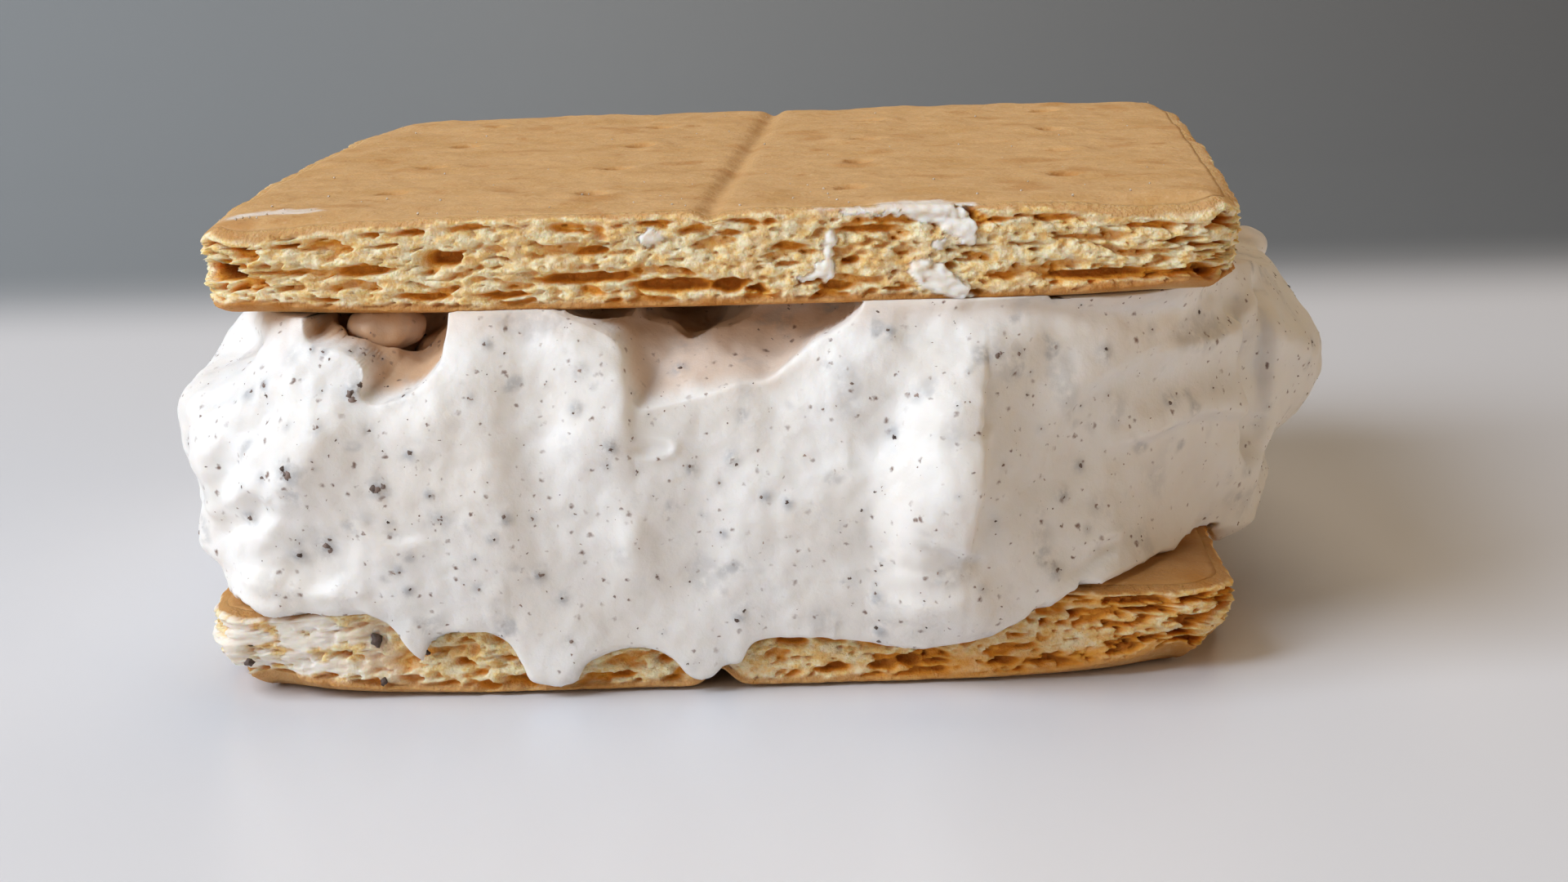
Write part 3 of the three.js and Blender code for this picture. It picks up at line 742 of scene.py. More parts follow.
        ((-21.0, -29.6, 24.2), (3.9, 3.2, 2.8), 0.0),
        ((-1.8, -29.0, 24.7), (4.4, 7.0, 2.8), 0.5),
        ((-7.0, -30.0, 24.6), (2.8, 5.0, 0.85), 0.0),
    ],
    "lumps": [
        ((-21.6, -29.6, 23.2), (2.2, 1.8, 1.6)),
        ((35.0, 4.0, 21.9), (2.4, 3.0, 1.6)),
    ],
    "ballSegments": (96, 48),  # of a hollow and of a lump
    "ballNoise": (0.5, 0.45),  # its height, and how many to the millimetre
}
softening = {
    "sharpest": 38,  # degrees
    "longestEdge": 1.5,
    "rings": 2,
    "hemRounds": 6,
    "hemHeight": 9,
    "belowCeiling": 0.3,
    "weld": 0.02,
}


def closedRail(points, turns):
    # a smooth closed curve through the points, even in points rather than in length
    points = np.array(points, dtype=float)
    count = len(points)
    along = turns * count
    first = np.floor(along).astype(int)
    share = (along - first)[:, None]
    p0, p1, p2, p3 = (points[(first + step) % count] for step in (-1, 0, 1, 2))

    def gap(a, b):
        return np.maximum(((b - a) ** 2).sum(axis=1) ** 0.25, 1e-4)[:, None]

    d0, d1, d2 = gap(p0, p1), gap(p1, p2), gap(p2, p3)
    t1 = ((p1 - p0) / d0 - (p2 - p0) / (d0 + d1) + (p2 - p1) / d1) * d1
    t2 = ((p2 - p1) / d1 - (p3 - p1) / (d1 + d2) + (p3 - p2) / d2) * d1
    square = (-3 * p1 + 3 * p2 - 2 * t1 - t2) * share**2
    return p1 + t1 * share + square + (2 * p1 - 2 * p2 + t1 + t2) * share**3


def strokedPoints(points):
    moved = points.copy()
    for start, end, radius, push in filling["strokes"]:
        start, end, push = (np.array(each, dtype=float) for each in (start, end, push))
        line = end - start
        share = np.clip(((points - start) @ line) / (line @ line), 0, 1)
        away = np.linalg.norm(points - (start + share[:, None] * line), axis=1)
        moved += bell(away, radius)[:, None] * push
    return moved


def roundedLine(line, rounds=2):
    # cuts the corners of a line
    line = np.array(line, dtype=float)
    for _ in range(rounds):
        before, after = 0.75 * line[:-1] + 0.25 * line[1:], 0.25 * line[:-1] + 0.75 * line[1:]
        cuts = np.concatenate([before, after], axis=1)
        line = np.concatenate([line[:1], cuts.reshape(-1, line.shape[1]), line[-1:]])
    return line


def fromFront(search, x, z):
    # the place on the front, and the normal there
    return search.ray_cast(Vector((x, filling["wellInFront"], z)), Vector((0, 1, 0)))[:2]


def nearestOnLine(points, search, line):
    # distance to a line laid on the surface, the line's height there, and if the point is left of it
    laid = []
    for x, z, height in roundedLine(line):
        place, normal = fromFront(search, x, z)
        if place is not None:
            laid.append((np.array(place), np.array(normal if normal.y < 0 else -normal), height))
    best = np.full(len(points), np.inf)
    heights, left = np.zeros(len(points)), np.zeros(len(points), dtype=bool)
    for (start, normal, low), (end, _, high) in zip(laid, laid[1:]):
        part = end - start
        share = np.clip(((points - start) @ part) / max(part @ part, 1e-9), 0, 1)
        aside = points - (start + share[:, None] * part)
        away = np.linalg.norm(aside, axis=1)
        closer = away < best
        best = np.where(closer, away, best)
        heights = np.where(closer, low + (high - low) * share, heights)
        left = np.where(closer, aside @ np.cross(normal, part) > 0, left)
    return best, heights, left


def foldedPoints(points, mesh, near):
    # pushes the folds out of the front
    search = surfaceSearch(mesh, points)
    outwards = readNormals(mesh) * (1, 1, 0)
    outwards /= np.maximum(np.linalg.norm(outwards, axis=1), 1e-6)[:, None]
    push = np.zeros(len(near))
    for line, widthLeft, widthRight in filling["folds"]:
        away, height, left = nearestOnLine(points[near], search, line)
        push += height * bell(away, np.where(left, widthLeft, widthRight))
    moved = points.copy()
    moved[near] += outwards[near] * push[:, None]
    return moved


def laidLip(search, line):
    # x, z, y on the surface, more depth and softness along a lip
    laid = []
    for x, z, depth, softness in roundedLine(line):
        place, _ = fromFront(search, x, z)
        if place is None:
            place, _, _, _ = search.find_nearest(Vector((x, -half, z)))
        laid.append((x, z, place.y, depth, softness))
    return np.array(laid)


def scoopedPoints(points, mesh, near):
    # hollows the front out behind each lip
    moved = points.copy()
    for level, back, slope, line in filling["scoops"]:
        laid = laidLip(surfaceSearch(mesh, moved), line)
        flat = moved[near][:, [0, 2]]
        parts = np.diff(laid, axis=0)
        aside = flat[:, None] - laid[None, :-1, :2]
        share = (aside * parts[:, :2]).sum(axis=2) / (parts[:, :2] ** 2).sum(axis=1)
        share = np.clip(share, 0, 1)[:, :, None]
        aside -= share * parts[:, :2]
        away = np.hypot(aside[:, :, 0], aside[:, :, 1])
        every, nearest = np.arange(len(flat)), away.argmin(axis=1)
        best = away[every, nearest]
        # the lip's values, blended over all of its parts
        weight = np.exp(-(away - best[:, None]) / filling["lipBlend"])[:, :, None]
        values = (weight * (laid[:-1, 2:] + share * parts[:, 2:])).sum(axis=1) / weight.sum(axis=1)
        toLip = -aside[every, nearest]
        left = parts[nearest, 1] * toLip[:, 0] - parts[nearest, 0] * toLip[:, 1] > 0
        # the points beside the lip gather on it, so that it is crisp
        pull = bell(best, filling["lipPull"])
        moved[near, 0] += toLip[:, 0] * pull
        moved[near, 2] += toLip[:, 1] * pull
        inside = 1 - np.exp(-best * (1 - pull) / np.maximum(values[:, 2], 0.1))
        hollow = back + slope * (moved[near, 2] - level) + values[:, 1]
        behind = np.minimum(values[:, 0] + (hollow - values[:, 0]) * inside, filling["deepest"])
        moved[near, 1] = np.where(left, np.maximum(moved[near, 1], behind), moved[near, 1])
    return moved


def fillingRails(turns):
    # the foot, the belly and the brow of the side, at each share of a turn
    stations = filling["stations"]
    brows = []
    for x, y in (station[5:7] for station in stations):
        past = max(0.0, max(abs(x), abs(y)) - half)
        height = filling["ceiling"] - filling["browSlope"] * past
        brows.append((x, y, filling["frontBrow"] if y < filling["frontBrowFrom"] else height))
    foot = closedRail([station[0:3] for station in stations], turns)
    belly = closedRail([(*station[3:5], filling["bellyHeight"]) for station in stations], turns)
    return foot, belly, closedRail(brows, turns)


def hangAt(foot):
    # how far the hem hangs below the foot
    hem = roundedLine(filling["hem"])
    hang = np.maximum(foot[:, 2] - np.interp(foot[:, 0], hem[:, 0], hem[:, 1]), -filling["hemRise"])
    hang = np.where(foot[:, 1] < -half - filling["overhang"], hang, 0)
    return hang * smoothStep(hem[-1, 0], hem[-1, 0] - filling["hemFade"], foot[:, 0])


def fillingSkin():
    sideRows = filling["sideRows"]
    rowCount = sideRows + 5
    mesh, turns, rows = wrappedSheet("filling", filling["columns"], rowCount)
    foot, belly, brow = fillingRails(turns)
    rise = np.clip((rows - 2) / sideRows, 0, 1)
    lower = rise < 0.5
    end = np.where(lower[:, None], foot, brow)
    swell = np.sin(np.where(lower, rise, 1 - rise) * math.pi)[:, None]
    points = end + (belly - end) * swell
    hang = hangAt(foot) * np.maximum(0, 1 - rise / filling["hemShare"]) ** 2
    points[:, 2] = np.maximum(filling["lowestDrip"], foot[:, 2] + (brow[:, 2] - foot[:, 2]) * rise - hang)
    points = strokedPoints(points)
    # two rings below the side and two above it close the mesh
    middle, ceiling = cracker["thickness"] / 2, filling["ceiling"]
    for row, rail, reach, height in (
        (0, foot, 0, middle),
        (1, foot, filling["footReach"], middle),
        (rowCount - 2, brow, filling["topReach"], ceiling),
        (rowCount - 1, brow, 0, ceiling),
    ):
        inRow = rows == row
        points[inRow, :2] = rail[inRow, :2] * reach
        points[inRow, 2] = height
    points[:, 2] = np.minimum(points[:, 2], filling["frontBrow"])
    writePoints(mesh, points)
    storeShare(mesh, "side", (rows >= 2) & (rows <= sideRows + 2))
    weld(mesh)
    points = readPoints(mesh)
    near = np.flatnonzero((readShare(mesh, "side") > 0.5) & (points[:, 1] < 0))
    mesh.attributes.remove(mesh.attributes["side"])
    writePoints(mesh, scoopedPoints(foldedPoints(points, mesh, near), mesh, near))
    return mesh


def ball(place, size, seed, segments, pinch=0.0):
    height, perMillimetre = filling["ballNoise"]
    form = bmesh.new()
    bmesh.ops.create_uvsphere(form, u_segments=segments, v_segments=segments * 2 // 3, radius=1)
    for vert in form.verts:
        vert.co.x *= 1 + pinch * min(vert.co.z, 0)
    form.transform(Matrix.Translation(place) @ Matrix.Diagonal((*size, 1)))
    for vert in form.verts:
        out = (vert.co - Vector(place)).normalized()
        vert.co += out * height * noise.noise(vert.co * perMillimetre + Vector((seed, seed, seed)))
    return meshFrom(form, "ball")


def bottomRoom():
    # the room that the lower cracker takes
    gap = filling["roomGap"]
    form = bmesh.new()
    bmesh.ops.create_cube(form, size=1)
    side = cracker["side"] + 2 * gap
    bmesh.ops.scale(form, verts=form.verts, vec=(side, side, 2 * cracker["thickness"] + gap))
    bmesh.ops.translate(form, verts=form.verts, vec=(0, 0, gap / 2))
    upright = [edge for edge in form.edges if abs(edge.verts[0].co.z - edge.verts[1].co.z) > 1]
    bmesh.ops.bevel(
        form,
        geom=upright,
        offset=cracker["cornerRadius"] + gap,
        affect="EDGES",
        segments=filling["roomSegments"],
        profile=0.5,
        material=-1,
    )
    form.transform(placeBottom)
    return meshFrom(form, "room")


def softenLips(mesh):
    # rounds off the sharp edges that the cuts leave, those of the hem more than the others
    form = bmesh.new()
    form.from_mesh(mesh)
    bmesh.ops.remove_doubles(form, verts=form.verts, dist=softening["weld"])
    splitLargeFaces(form)
    limit = math.radians(softening["sharpest"])
    near = set()
    for edge in form.edges:
        if len(edge.link_faces) == 2 and edge.calc_face_angle(0) > limit:
            if edge.calc_length() < softening["longestEdge"]:
                near.update(edge.verts)
    for _ in range(softening["rings"]):
        near.update([edge.other_vert(vert) for vert in list(near) for edge in vert.link_edges])
    highest = filling["ceiling"] - softening["belowCeiling"]
    lips = [vert for vert in form.verts if vert in near and vert.co.z < highest]
    low = [vert for vert in lips if vert.co.z < softening["hemHeight"]]
    allAxes = {f"use_axis_{axis}": True for axis in "xyz"}
    for verts in [lips] + [low] * (softening["hemRounds"] - 1):
        bmesh.ops.smooth_vert(form, verts=verts, factor=0.5, **allAxes)
    form.to_mesh(mesh)
    form.free()
    mesh.update()


# bigger cookie crumbs that show in the front, as x, z and size
bigCrumbs = [
    (-26.9, 15.1, 0.62), (-21.4, 14.0, 0.5), (-29.5, 12.4, 0.42), (-26.7, 9.9, 0.4), (-22.5, 20.2, 0.5),
    (-29.1, 20.2, 0.34), (-28.0, 20.7, 0.32), (-14.0, 23.0, 0.3), (-8.8, 18.8, 0.34), (-2.3, 21.0, 0.4),
    (-1.8, 14.8, 0.3), (0.7, 15.5, 0.36), (10.6, 23.0, 0.36), (10.6, 16.9, 0.32), (2.7, 13.0, 0.3),
    (4.1, 12.6, 0.3), (0.0, 10.7, 0.26), (0.8, 5.5, 0.32), (-6.7, 16.3, 0.36), (9.4, 6.5, 0.34),
    (9.5, 4.3, 0.34), (20.9, 12.7, 0.36), (27.4, 18.5, 0.4), (20.3, 7.9, 0.38), (23.5, 21.4, 0.42),
    (22.0, 14.5, 0.3), (-20.4, 8.8, 0.28), (-19.9, 7.4, 0.3), (-13.5, 11.9, 0.32), (-14.4, 10.7, 0.28),
    (-18.2, 13.6, 0.26), (-19.3, 16.1, 0.32), (-10.2, 6.7, 0.34), (-11.7, 8.3, 0.4), (-24.9, 10.3, 0.5),
    (-24.8, 22.8, 0.2), (-24.1, 22.65, 0.22), (-22.4, 22.6, 0.32), (-21.7, 22.6, 0.28), (-21.0, 22.4, 0.24),
    (-20.5, 22.2, 0.2), (-18.0, 23.7, 0.36), (-17.6, 23.0, 0.3), (-18.3, 22.8, 0.22), (-22.1, 20.5, 0.34),
]

creamRelief = {
    # noises are given as strength, size and seed
    "broad": [(0.36, 5.2, 3.1)],
    "crumpled": [(0.15, 2.3, 7.7), (0.08, 1.0, 12.9)],
    "crumpledLeft": (-18, -27),  # where the left side starts to be more crumpled, and fully is
    "crumpledMore": 0.7,
    # long marks of the spatula across the right side
    "marks": [(1, (9.0, 9.0, 1.5), 5.5)],
    "marksHeight": 0.12,
    "marksRight": (17, 23),
    "marksLean": (0.13, 0.1),
    # a burst bubble, on the front
    "bubblePlace": (-4.1, 16.3),
    "bubbleHalf": (1.4, 0.62),
    "bubbleRim": (0.24, 0.22),
    "bubbleDent": (0.4, 0.8),
    # how high the cream rises over each big crumb, and the stain round it, for the crumb's size
    "bump": (0.3, 1.1),
    "stain": (0.8, 1.35),
    "blots": [(1, 1.5, 31.0)],
    "blotGroups": [(1, 6.0, 36.0)],
    "blotShare": 0.6,
    "patches": [(1, 3.2, 41.0)],
    "patchShare": 0.28,
    # painted shade of the recesses, warm with the crackers' bounce light: its share between two x and above
    # a height, and their relief
    "shadedZones": [(-27.4, -16.2, 19.0, 0.95), (-9.0, 8.8, 18.0, 0.55)],
    "shadedZoneRelief": [(0.5, 1.5, 51.0)],
    "shadedZoneEdge": [(0.5, 1.6, 61.0)],
    "front": 33,
    "frontSlope": 0.8,
    "frontMost": 3.0,
    "underCracker": 0.28,
    "lowest": 0.35,
}
cookies = {
    "seed": 11,
    "count": 300,
    "size": (0.12, 0.3),
    "dust": 1700,
    # none lie where it is hidden: between the crackers, on level parts and right above the plate
    "sideInset": 3,
    "frontInset": 5,
    "levelNormal": 0.93,
    "lowest": 0.8,
    "haloShare": (0.1, 0.55),
    "haloSize": (1.4, 2.8),
    "haloReach": 2.2,
}


def bubbleRelief(points):
    (middleX, middleZ), (halfX, halfZ) = creamRelief["bubblePlace"], creamRelief["bubbleHalf"]
    (rimHeight, rimWidth), (dent, dentWidth) = creamRelief["bubbleRim"], creamRelief["bubbleDent"]
    ovalX, ovalZ = (points[:, 0] - middleX) / halfX, (points[:, 2] - middleZ) / halfZ
    ring = np.where(points[:, 1] < -30, np.hypot(ovalX, ovalZ), 9)
    rim = bell(ring - 1, rimWidth) * smoothStep(-1.1, 0.9, ovalX - 0.6 * ovalZ)
    return rimHeight * rim - dent * bell(ring, dentWidth) * smoothStep(1.0, -1.0, ovalX)


def stainAround(points, crumbSpots):
    # the relief over the big crumbs, and the stains
    relief, stain = np.zeros(len(points)), np.zeros(len(points))
    (bumpShare, bumpWidth), (stainShare, stainWidth) = creamRelief["bump"], creamRelief["stain"]
    for place, size in crumbSpots:
        away = np.linalg.norm(points - place, axis=1)
        relief += bumpShare * size * bell(away, bumpWidth * size)
        stain = np.maximum(stain, stainShare * bell(away, stainWidth * size))
    blots = smoothStep(0.34, 0.62, withNoise(0, points, creamRelief["blots"]))
    blots *= smoothStep(-0.15, 0.35, withNoise(0, points, creamRelief["blotGroups"]))
    patches = smoothStep(0.25, 0.6, withNoise(0, points, creamRelief["patches"]))
    shares = np.maximum(creamRelief["blotShare"] * blots, creamRelief["patchShare"] * patches)
    return relief, np.maximum(stain, shares)


def recessShares(points):
    # the relief of the shaded recesses, and their painted shade, warm with the crackers' bounce light
    relief, paintedShade = np.zeros(len(points)), np.zeros(len(points))
    slope = creamRelief["frontSlope"] * (24.5 - points[:, 2])
    behind = points[:, 1] + creamRelief["front"] + np.minimum(slope, creamRelief["frontMost"])
    behind = withNoise(behind, points, creamRelief["shadedZoneEdge"])
    rough = withNoise(0, points, creamRelief["shadedZoneRelief"]) * smoothStep(-33.5, -31, points[:, 1])
    for low, high, lowest, share in creamRelief["shadedZones"]:
        zone = share * smoothStep(low - 0.3, low + 0.7, points[:, 0]) * (points[:, 1] < 0)
        zone *= smoothStep(high + 0.3, high - 0.7, points[:, 0])
        zone *= smoothStep(lowest, lowest + 1, points[:, 2])
        relief += zone * rough
        # the painted shade grows the further back the cream lies
        paintedShade = np.maximum(paintedShade, zone * smoothStep(0.7, 2.6, behind))
    # painted shade under the top cracker's edge, warm with its bounce light
    paintedShade = np.maximum(paintedShade, creamRelief["underCracker"] * smoothStep(22.4, 24.5, points[:, 2]))
    return relief, paintedShade


def fillingRelief(mesh, crumbSpots):
    points, normals = readPoints(mesh), readNormals(mesh)
    crumpled = 1 + creamRelief["crumpledMore"] * smoothStep(*creamRelief["crumpledLeft"], points[:, 0])
    relief = withNoise(0, points, creamRelief["broad"])
    relief += crumpled * withNoise(0, points, creamRelief["crumpled"])
    leanX, leanY = creamRelief["marksLean"]
    sheared = points.copy()
    sheared[:, 2] -= leanX * (points[:, 0] - 20) + leanY * points[:, 1]
    marked = creamRelief["marksHeight"] * smoothStep(*creamRelief["marksRight"], points[:, 0])
    relief += marked * withNoise(0, sheared, creamRelief["marks"])
    relief += bubbleRelief(points)
    crumbRelief, stain = stainAround(points, crumbSpots)
    recessRelief, paintedShade = recessShares(points)
    relief += crumbRelief + recessRelief
    # the faces that lie against the crackers stay level
    free = smoothStep(-0.2, 0.5, filling["ceiling"] - points[:, 2])
    points += normals * (relief * free)[:, None]
    points[:, 2] = np.clip(points[:, 2], creamRelief["lowest"], filling["frontBrow"])
    inner = np.abs(points[:, :2]).max(axis=1) < half - 0.3
    points[:, 2] = np.where(inner, np.minimum(points[:, 2], fillingTop - 0.02), points[:, 2])
    writePoints(mesh, points)
    return stain, paintedShade


def spotsOn(mesh):
    # where the big crumbs lie on the front, and their sizes
    search = surfaceSearch(mesh, readPoints(mesh))
    eye = Vector(view["place"])
    found = []
    for x, z, size in bigCrumbs:
        place, _, _, _ = search.ray_cast(eye, Vector((x, -35.5, z)) - eye)
        if place is not None:
            found.append((np.array(place), size))
    return found


def placesOnFilling(mesh, count, draw):
    # spread over the sides that show
    corners = readPoints(mesh)[readTriangles(mesh)]
    cross = np.cross(corners[:, 1] - corners[:, 0], corners[:, 2] - corners[:, 0])
    area = np.linalg.norm(cross, axis=1) / 2
    normal = cross / np.maximum(2 * area, 1e-12)[:, None]
    x, y, z = np.abs(corners.mean(axis=1)).T
    outside = np.maximum(x - half + cookies["sideInset"], y - half + cookies["frontInset"]) > 0
    shown = outside & (np.abs(normal[:, 2]) < cookies["levelNormal"]) & (z > cookies["lowest"])
    total = np.cumsum(np.where(shown, area, 0))
    found = []
    for _ in range(count):
        index = int(np.searchsorted(total, draw.random() * total[-1]))
        index = min(index, len(corners) - 1)
        a, b = sorted((draw.random(), draw.random()))
        corner = corners[index]
        found.append((corner[0] * a + corner[1] * (b - a) + corner[2] * (1 - b), normal[index]))
    return found


def cookieBitsOn(mesh, stain):
    # the medium crumbs, each in a grey stain
    draw = random.Random(cookies["seed"])
    points = readPoints(mesh)
    low, high = cookies["size"]
    found = []
    for place, normal in placesOnFilling(mesh, cookies["count"], draw):
        size = low + (high - low) * draw.random() ** 2
        found.append((place, normal, size))
        near = np.flatnonzero(np.abs(points - place).max(axis=1) < cookies["haloReach"])
        away = np.linalg.norm(points[near] - place, axis=1)
        halo = draw.uniform(*cookies["haloShare"]) * bell(away, size * draw.uniform(*cookies["haloSize"]))
        stain[near] = np.maximum(stain[near], halo)
    return found


def makeFilling():
    mesh = fillingSkin()
    hollowSegments, lumpSegments = filling["ballSegments"]
    for index, (place, size, pinch) in enumerate(filling["hollows"]):
        mesh = cutWith(mesh, ball(place, size, 3.0 * index + 1, hollowSegments, pinch), "DIFFERENCE")
    for index, (place, size) in enumerate(filling["lumps"]):
        mesh = cutWith(mesh, ball(place, size, 5.0 * index + 2, lumpSegments), "UNION")
    mesh = cutWith(mesh, bottomRoom(), "DIFFERENCE")
    softenLips(mesh)
    crumbSpots = spotsOn(mesh)
    stain, paintedShade = fillingRelief(mesh, crumbSpots)
    cookieSpots = cookieBitsOn(mesh, stain)
    storeShare(mesh, "stain", stain)
    # painted shade in the recesses and under the top cracker
    storeShare(mesh, "paintedShade", paintedShade)
    return mesh, crumbSpots, cookieSpots


fillingMesh, crumbSpots, cookieSpots = makeFilling()
fillingTree = surfaceSearch(fillingMesh, readPoints(fillingMesh))
dustSpots = placesOnFilling(fillingMesh, cookies["dust"], random.Random(cookies["seed"] + 1))
addPiece("creamFilling", fillingMesh, cream, ("filling",))

# crackers

topEdge = {
    "columns": 1240,
    "rows": 54,
    "seed": 2.3,
    # lift of the lower crust and droop of the upper one, along the sides and at the corners
    "bends": {"lowerSide": 0.1, "lowerCorner": 0.9, "upperSide": 0.2, "upperCorner": 1.4, "undercut": 0.7},
    "rimToast": 0.75,
    "toast": 0.0,
    "shadeToRight": 0.0,
    "grooveWidth": 0.7,
    "grooveDepth": 0.4,
    # pockets in the front edge: place along it, height, half length and half height
    "pockets": [
        (-32.4, 3.05, 2.4, 0.75), (-26.9, 3.08, 2.6, 0.22), (-26.8, 5.9, 0.9, 0.1), (-26.6, 5.3, 0.7, 0.24),
        (-24.4, 0.85, 0.95, 0.2), (-23.8, 1.8, 0.45, 0.15), (-23.1, 4.55, 0.8, 0.21),
        (-22.3, 2.9, 2.1, 0.38), (-21.5, 5.5, 0.7, 0.17), (-20.5, 4.65, 1.0, 0.2), (-18.8, 5.4, 0.7, 0.25),
        (-18.2, 1.05, 1.9, 0.27), (-17.0, 3.6, 1.4, 0.52), (-15.0, 5.6, 1.35, 0.2),
        (-14.6, 2.95, 0.4, 0.19), (-13.0, 1.1, 1.95, 0.27), (-8.5, 5.1, 1.1, 0.17),
        (-7.9, 2.05, 3.55, 0.42), (-7.5, 3.8, 1.35, 0.36), (-7.0, 4.3, 0.6, 0.15), (-3.5, 5.55, 1.0, 0.2),
        (-2.5, 1.45, 2.95, 0.45), (1.1, 1.3, 1.15, 0.5), (1.2, 4.7, 1.05, 0.22), (3.0, 1.05, 0.6, 0.36),
        (4.8, 2.6, 0.8, 0.22), (5.1, 3.75, 1.35, 0.3), (7.3, 3.7, 0.45, 0.2), (7.9, 1.1, 1.3, 0.3),
        (8.9, 2.7, 0.8, 0.38), (10.0, 4.75, 2.4, 0.3), (10.7, 3.7, 0.6, 0.15), (11.4, 5.6, 1.1, 0.2),
        (11.6, 0.9, 1.2, 0.14), (14.4, 2.2, 1.2, 0.24), (15.6, 5.65, 1.2, 0.36), (16.2, 2.55, 0.95, 0.17),
        (16.3, 3.5, 1.2, 0.16), (18.4, 1.5, 1.1, 0.24), (19.1, 5.5, 0.5, 0.15), (19.5, 3.65, 1.2, 0.13),
        (23.4, 4.05, 2.1, 0.2), (24.2, 1.35, 3.5, 0.4), (26.6, 3.05, 0.95, 0.16), (27.4, 5.2, 0.85, 0.14),
        (29.0, 4.0, 0.6, 0.34), (29.1, 0.95, 1.5, 0.2),
    ],
    # filling smeared on the front edge: place along it, height, half sizes, lean and thickness
    "smears": [
        (13.2, 1.95, 0.85, 0.75, -20, 0.5), (13.9, 1.5, 0.9, 0.7, -30, 0.5),
        (14.9, 1.0, 1.1, 0.55, -20, 0.55), (15.4, 0.5, 0.7, 0.5, 0, 0.5), (13.6, 5.7, 1.9, 0.5, -4, 0.1),
        (14.9, 5.1, 1.0, 0.8, -35, 0.22), (15.9, 4.4, 0.55, 0.85, 10, 0.4), (15.6, 4.8, 0.8, 0.6, -30, 0.3),
        (7.2, 3.0, 0.42, 1.1, 8, 0.3), (7.0, 2.2, 0.5, 0.6, 0, 0.22), (6.3, 1.8, 0.8, 0.28, 12, 0.15),
        (-3.6, 4.6, 0.6, 0.6, 0, 0.15), (14.3, 3.6, 0.28, 0.25, 0, 0.15), (7.7, 4.27, 0.38, 0.45, 0, 0.2),
        (10.4, 5.8, 2.6, 0.16, -2, 0.05),
    ],
    "smearEnd": None,
}
bottomEdge = {
    "columns": 1000,
    "rows": 50,
    "seed": 9.4,
    "bends": {"lowerSide": 0.2, "lowerCorner": 1.7, "upperSide": 0.1, "upperCorner": 0.7, "undercut": 2.2},
    "rimToast": 0.1,
    "toast": 0.55,
    # painted shade on the crumb, growing towards the right end
    "shadeToRight": 0.3,
    "grooveWidth": 0.95,
    "grooveDepth": 1.15,
    "pockets": [
        (-24.2, 2.7, 0.55, 0.36), (-20.0, 0.9, 0.8, 0.29), (-18.0, 0.4, 0.55, 0.12),
        (-16.4, 2.1, 1.0, 0.36), (-16.2, 3.6, 0.55, 0.22), (-15.0, 0.55, 0.9, 0.3),
        (-14.1, 3.65, 0.6, 0.27), (-12.1, 2.0, 0.8, 0.27), (-11.7, 0.6, 1.45, 0.3), (-6.5, 0.9, 0.9, 0.27),
        (-6.1, 1.95, 0.9, 0.22), (-3.4, 2.0, 0.8, 0.3), (4.7, 2.9, 0.95, 0.36), (7.3, 1.05, 0.95, 0.3),
        (10.5, 1.1, 0.85, 0.27), (12.4, 1.4, 0.9, 0.46), (13.9, 1.3, 0.6, 0.18), (17.9, 1.1, 1.0, 0.22),
        (19.7, 2.05, 0.6, 0.22), (20.7, 3.8, 0.45, 0.22), (21.1, 1.3, 0.85, 0.14), (22.7, 5.6, 0.5, 0.16),
        (22.9, 4.45, 0.7, 0.22), (25.2, 2.75, 0.35, 0.22), (26.9, 5.6, 1.35, 0.2), (27.2, 4.45, 1.6, 0.3),
        (27.9, 1.65, 1.0, 0.27), (29.9, 1.9, 0.85, 0.34), (29.9, 5.3, 0.5, 0.3), (30.1, 3.5, 1.35, 0.22),
    ],
    "smears": [(-30.4, 4.6, 1.6, 0.7, 0, 0.25), (-26.0, 5.2, 2.4, 0.35, -8, 0.2)],
    "smearEnd": (-26.0, -17.5),  # a film all over the edge left of the first, none right of the second
}
edgeRows = {
    # inset from the side and height of the rows below and above the broken edge
    "below": [(half, 0.5), (4.5, 0.5), (1.6, 0.35), (1.2, 0.02), (0.7, 0.02), (0.3, 0.05), (0.1, 0.11)],
    "above": [
        (0.05, 5.93), (0.15, 6.02), (0.4, 6.07), (0.8, 6.1), (1.25, 6.1), (1.6, 5.75), (4.5, 5.6),
        (half, 5.6),
    ],
    "lowest": 0.17,
    "highest": 5.8,
    "columnShare": [0, 0.42, 0.64, 0.79, 1.0],  # up to the end of the front, right, back and left
    "flatReach": 0.86,
    "bendPower": 3.1,
    "cornerSpread": 9.0,
    "undercutSpread": 5.0,
    "undercutHeight": 3.6,
    "wornSpread": 3.0,  # of the corners that are worn deeper
    "wornMore": 0.8,
    "depthLimits": (-0.7, 3.6),
    # where the broken relief ends inwards, and the crusts start downwards and upwards
    "brokenInset": (0.6, 0.12),
    "lowerSkin": (0.55, 0.25),
    "upperSkin": (5.5, 5.85),
}
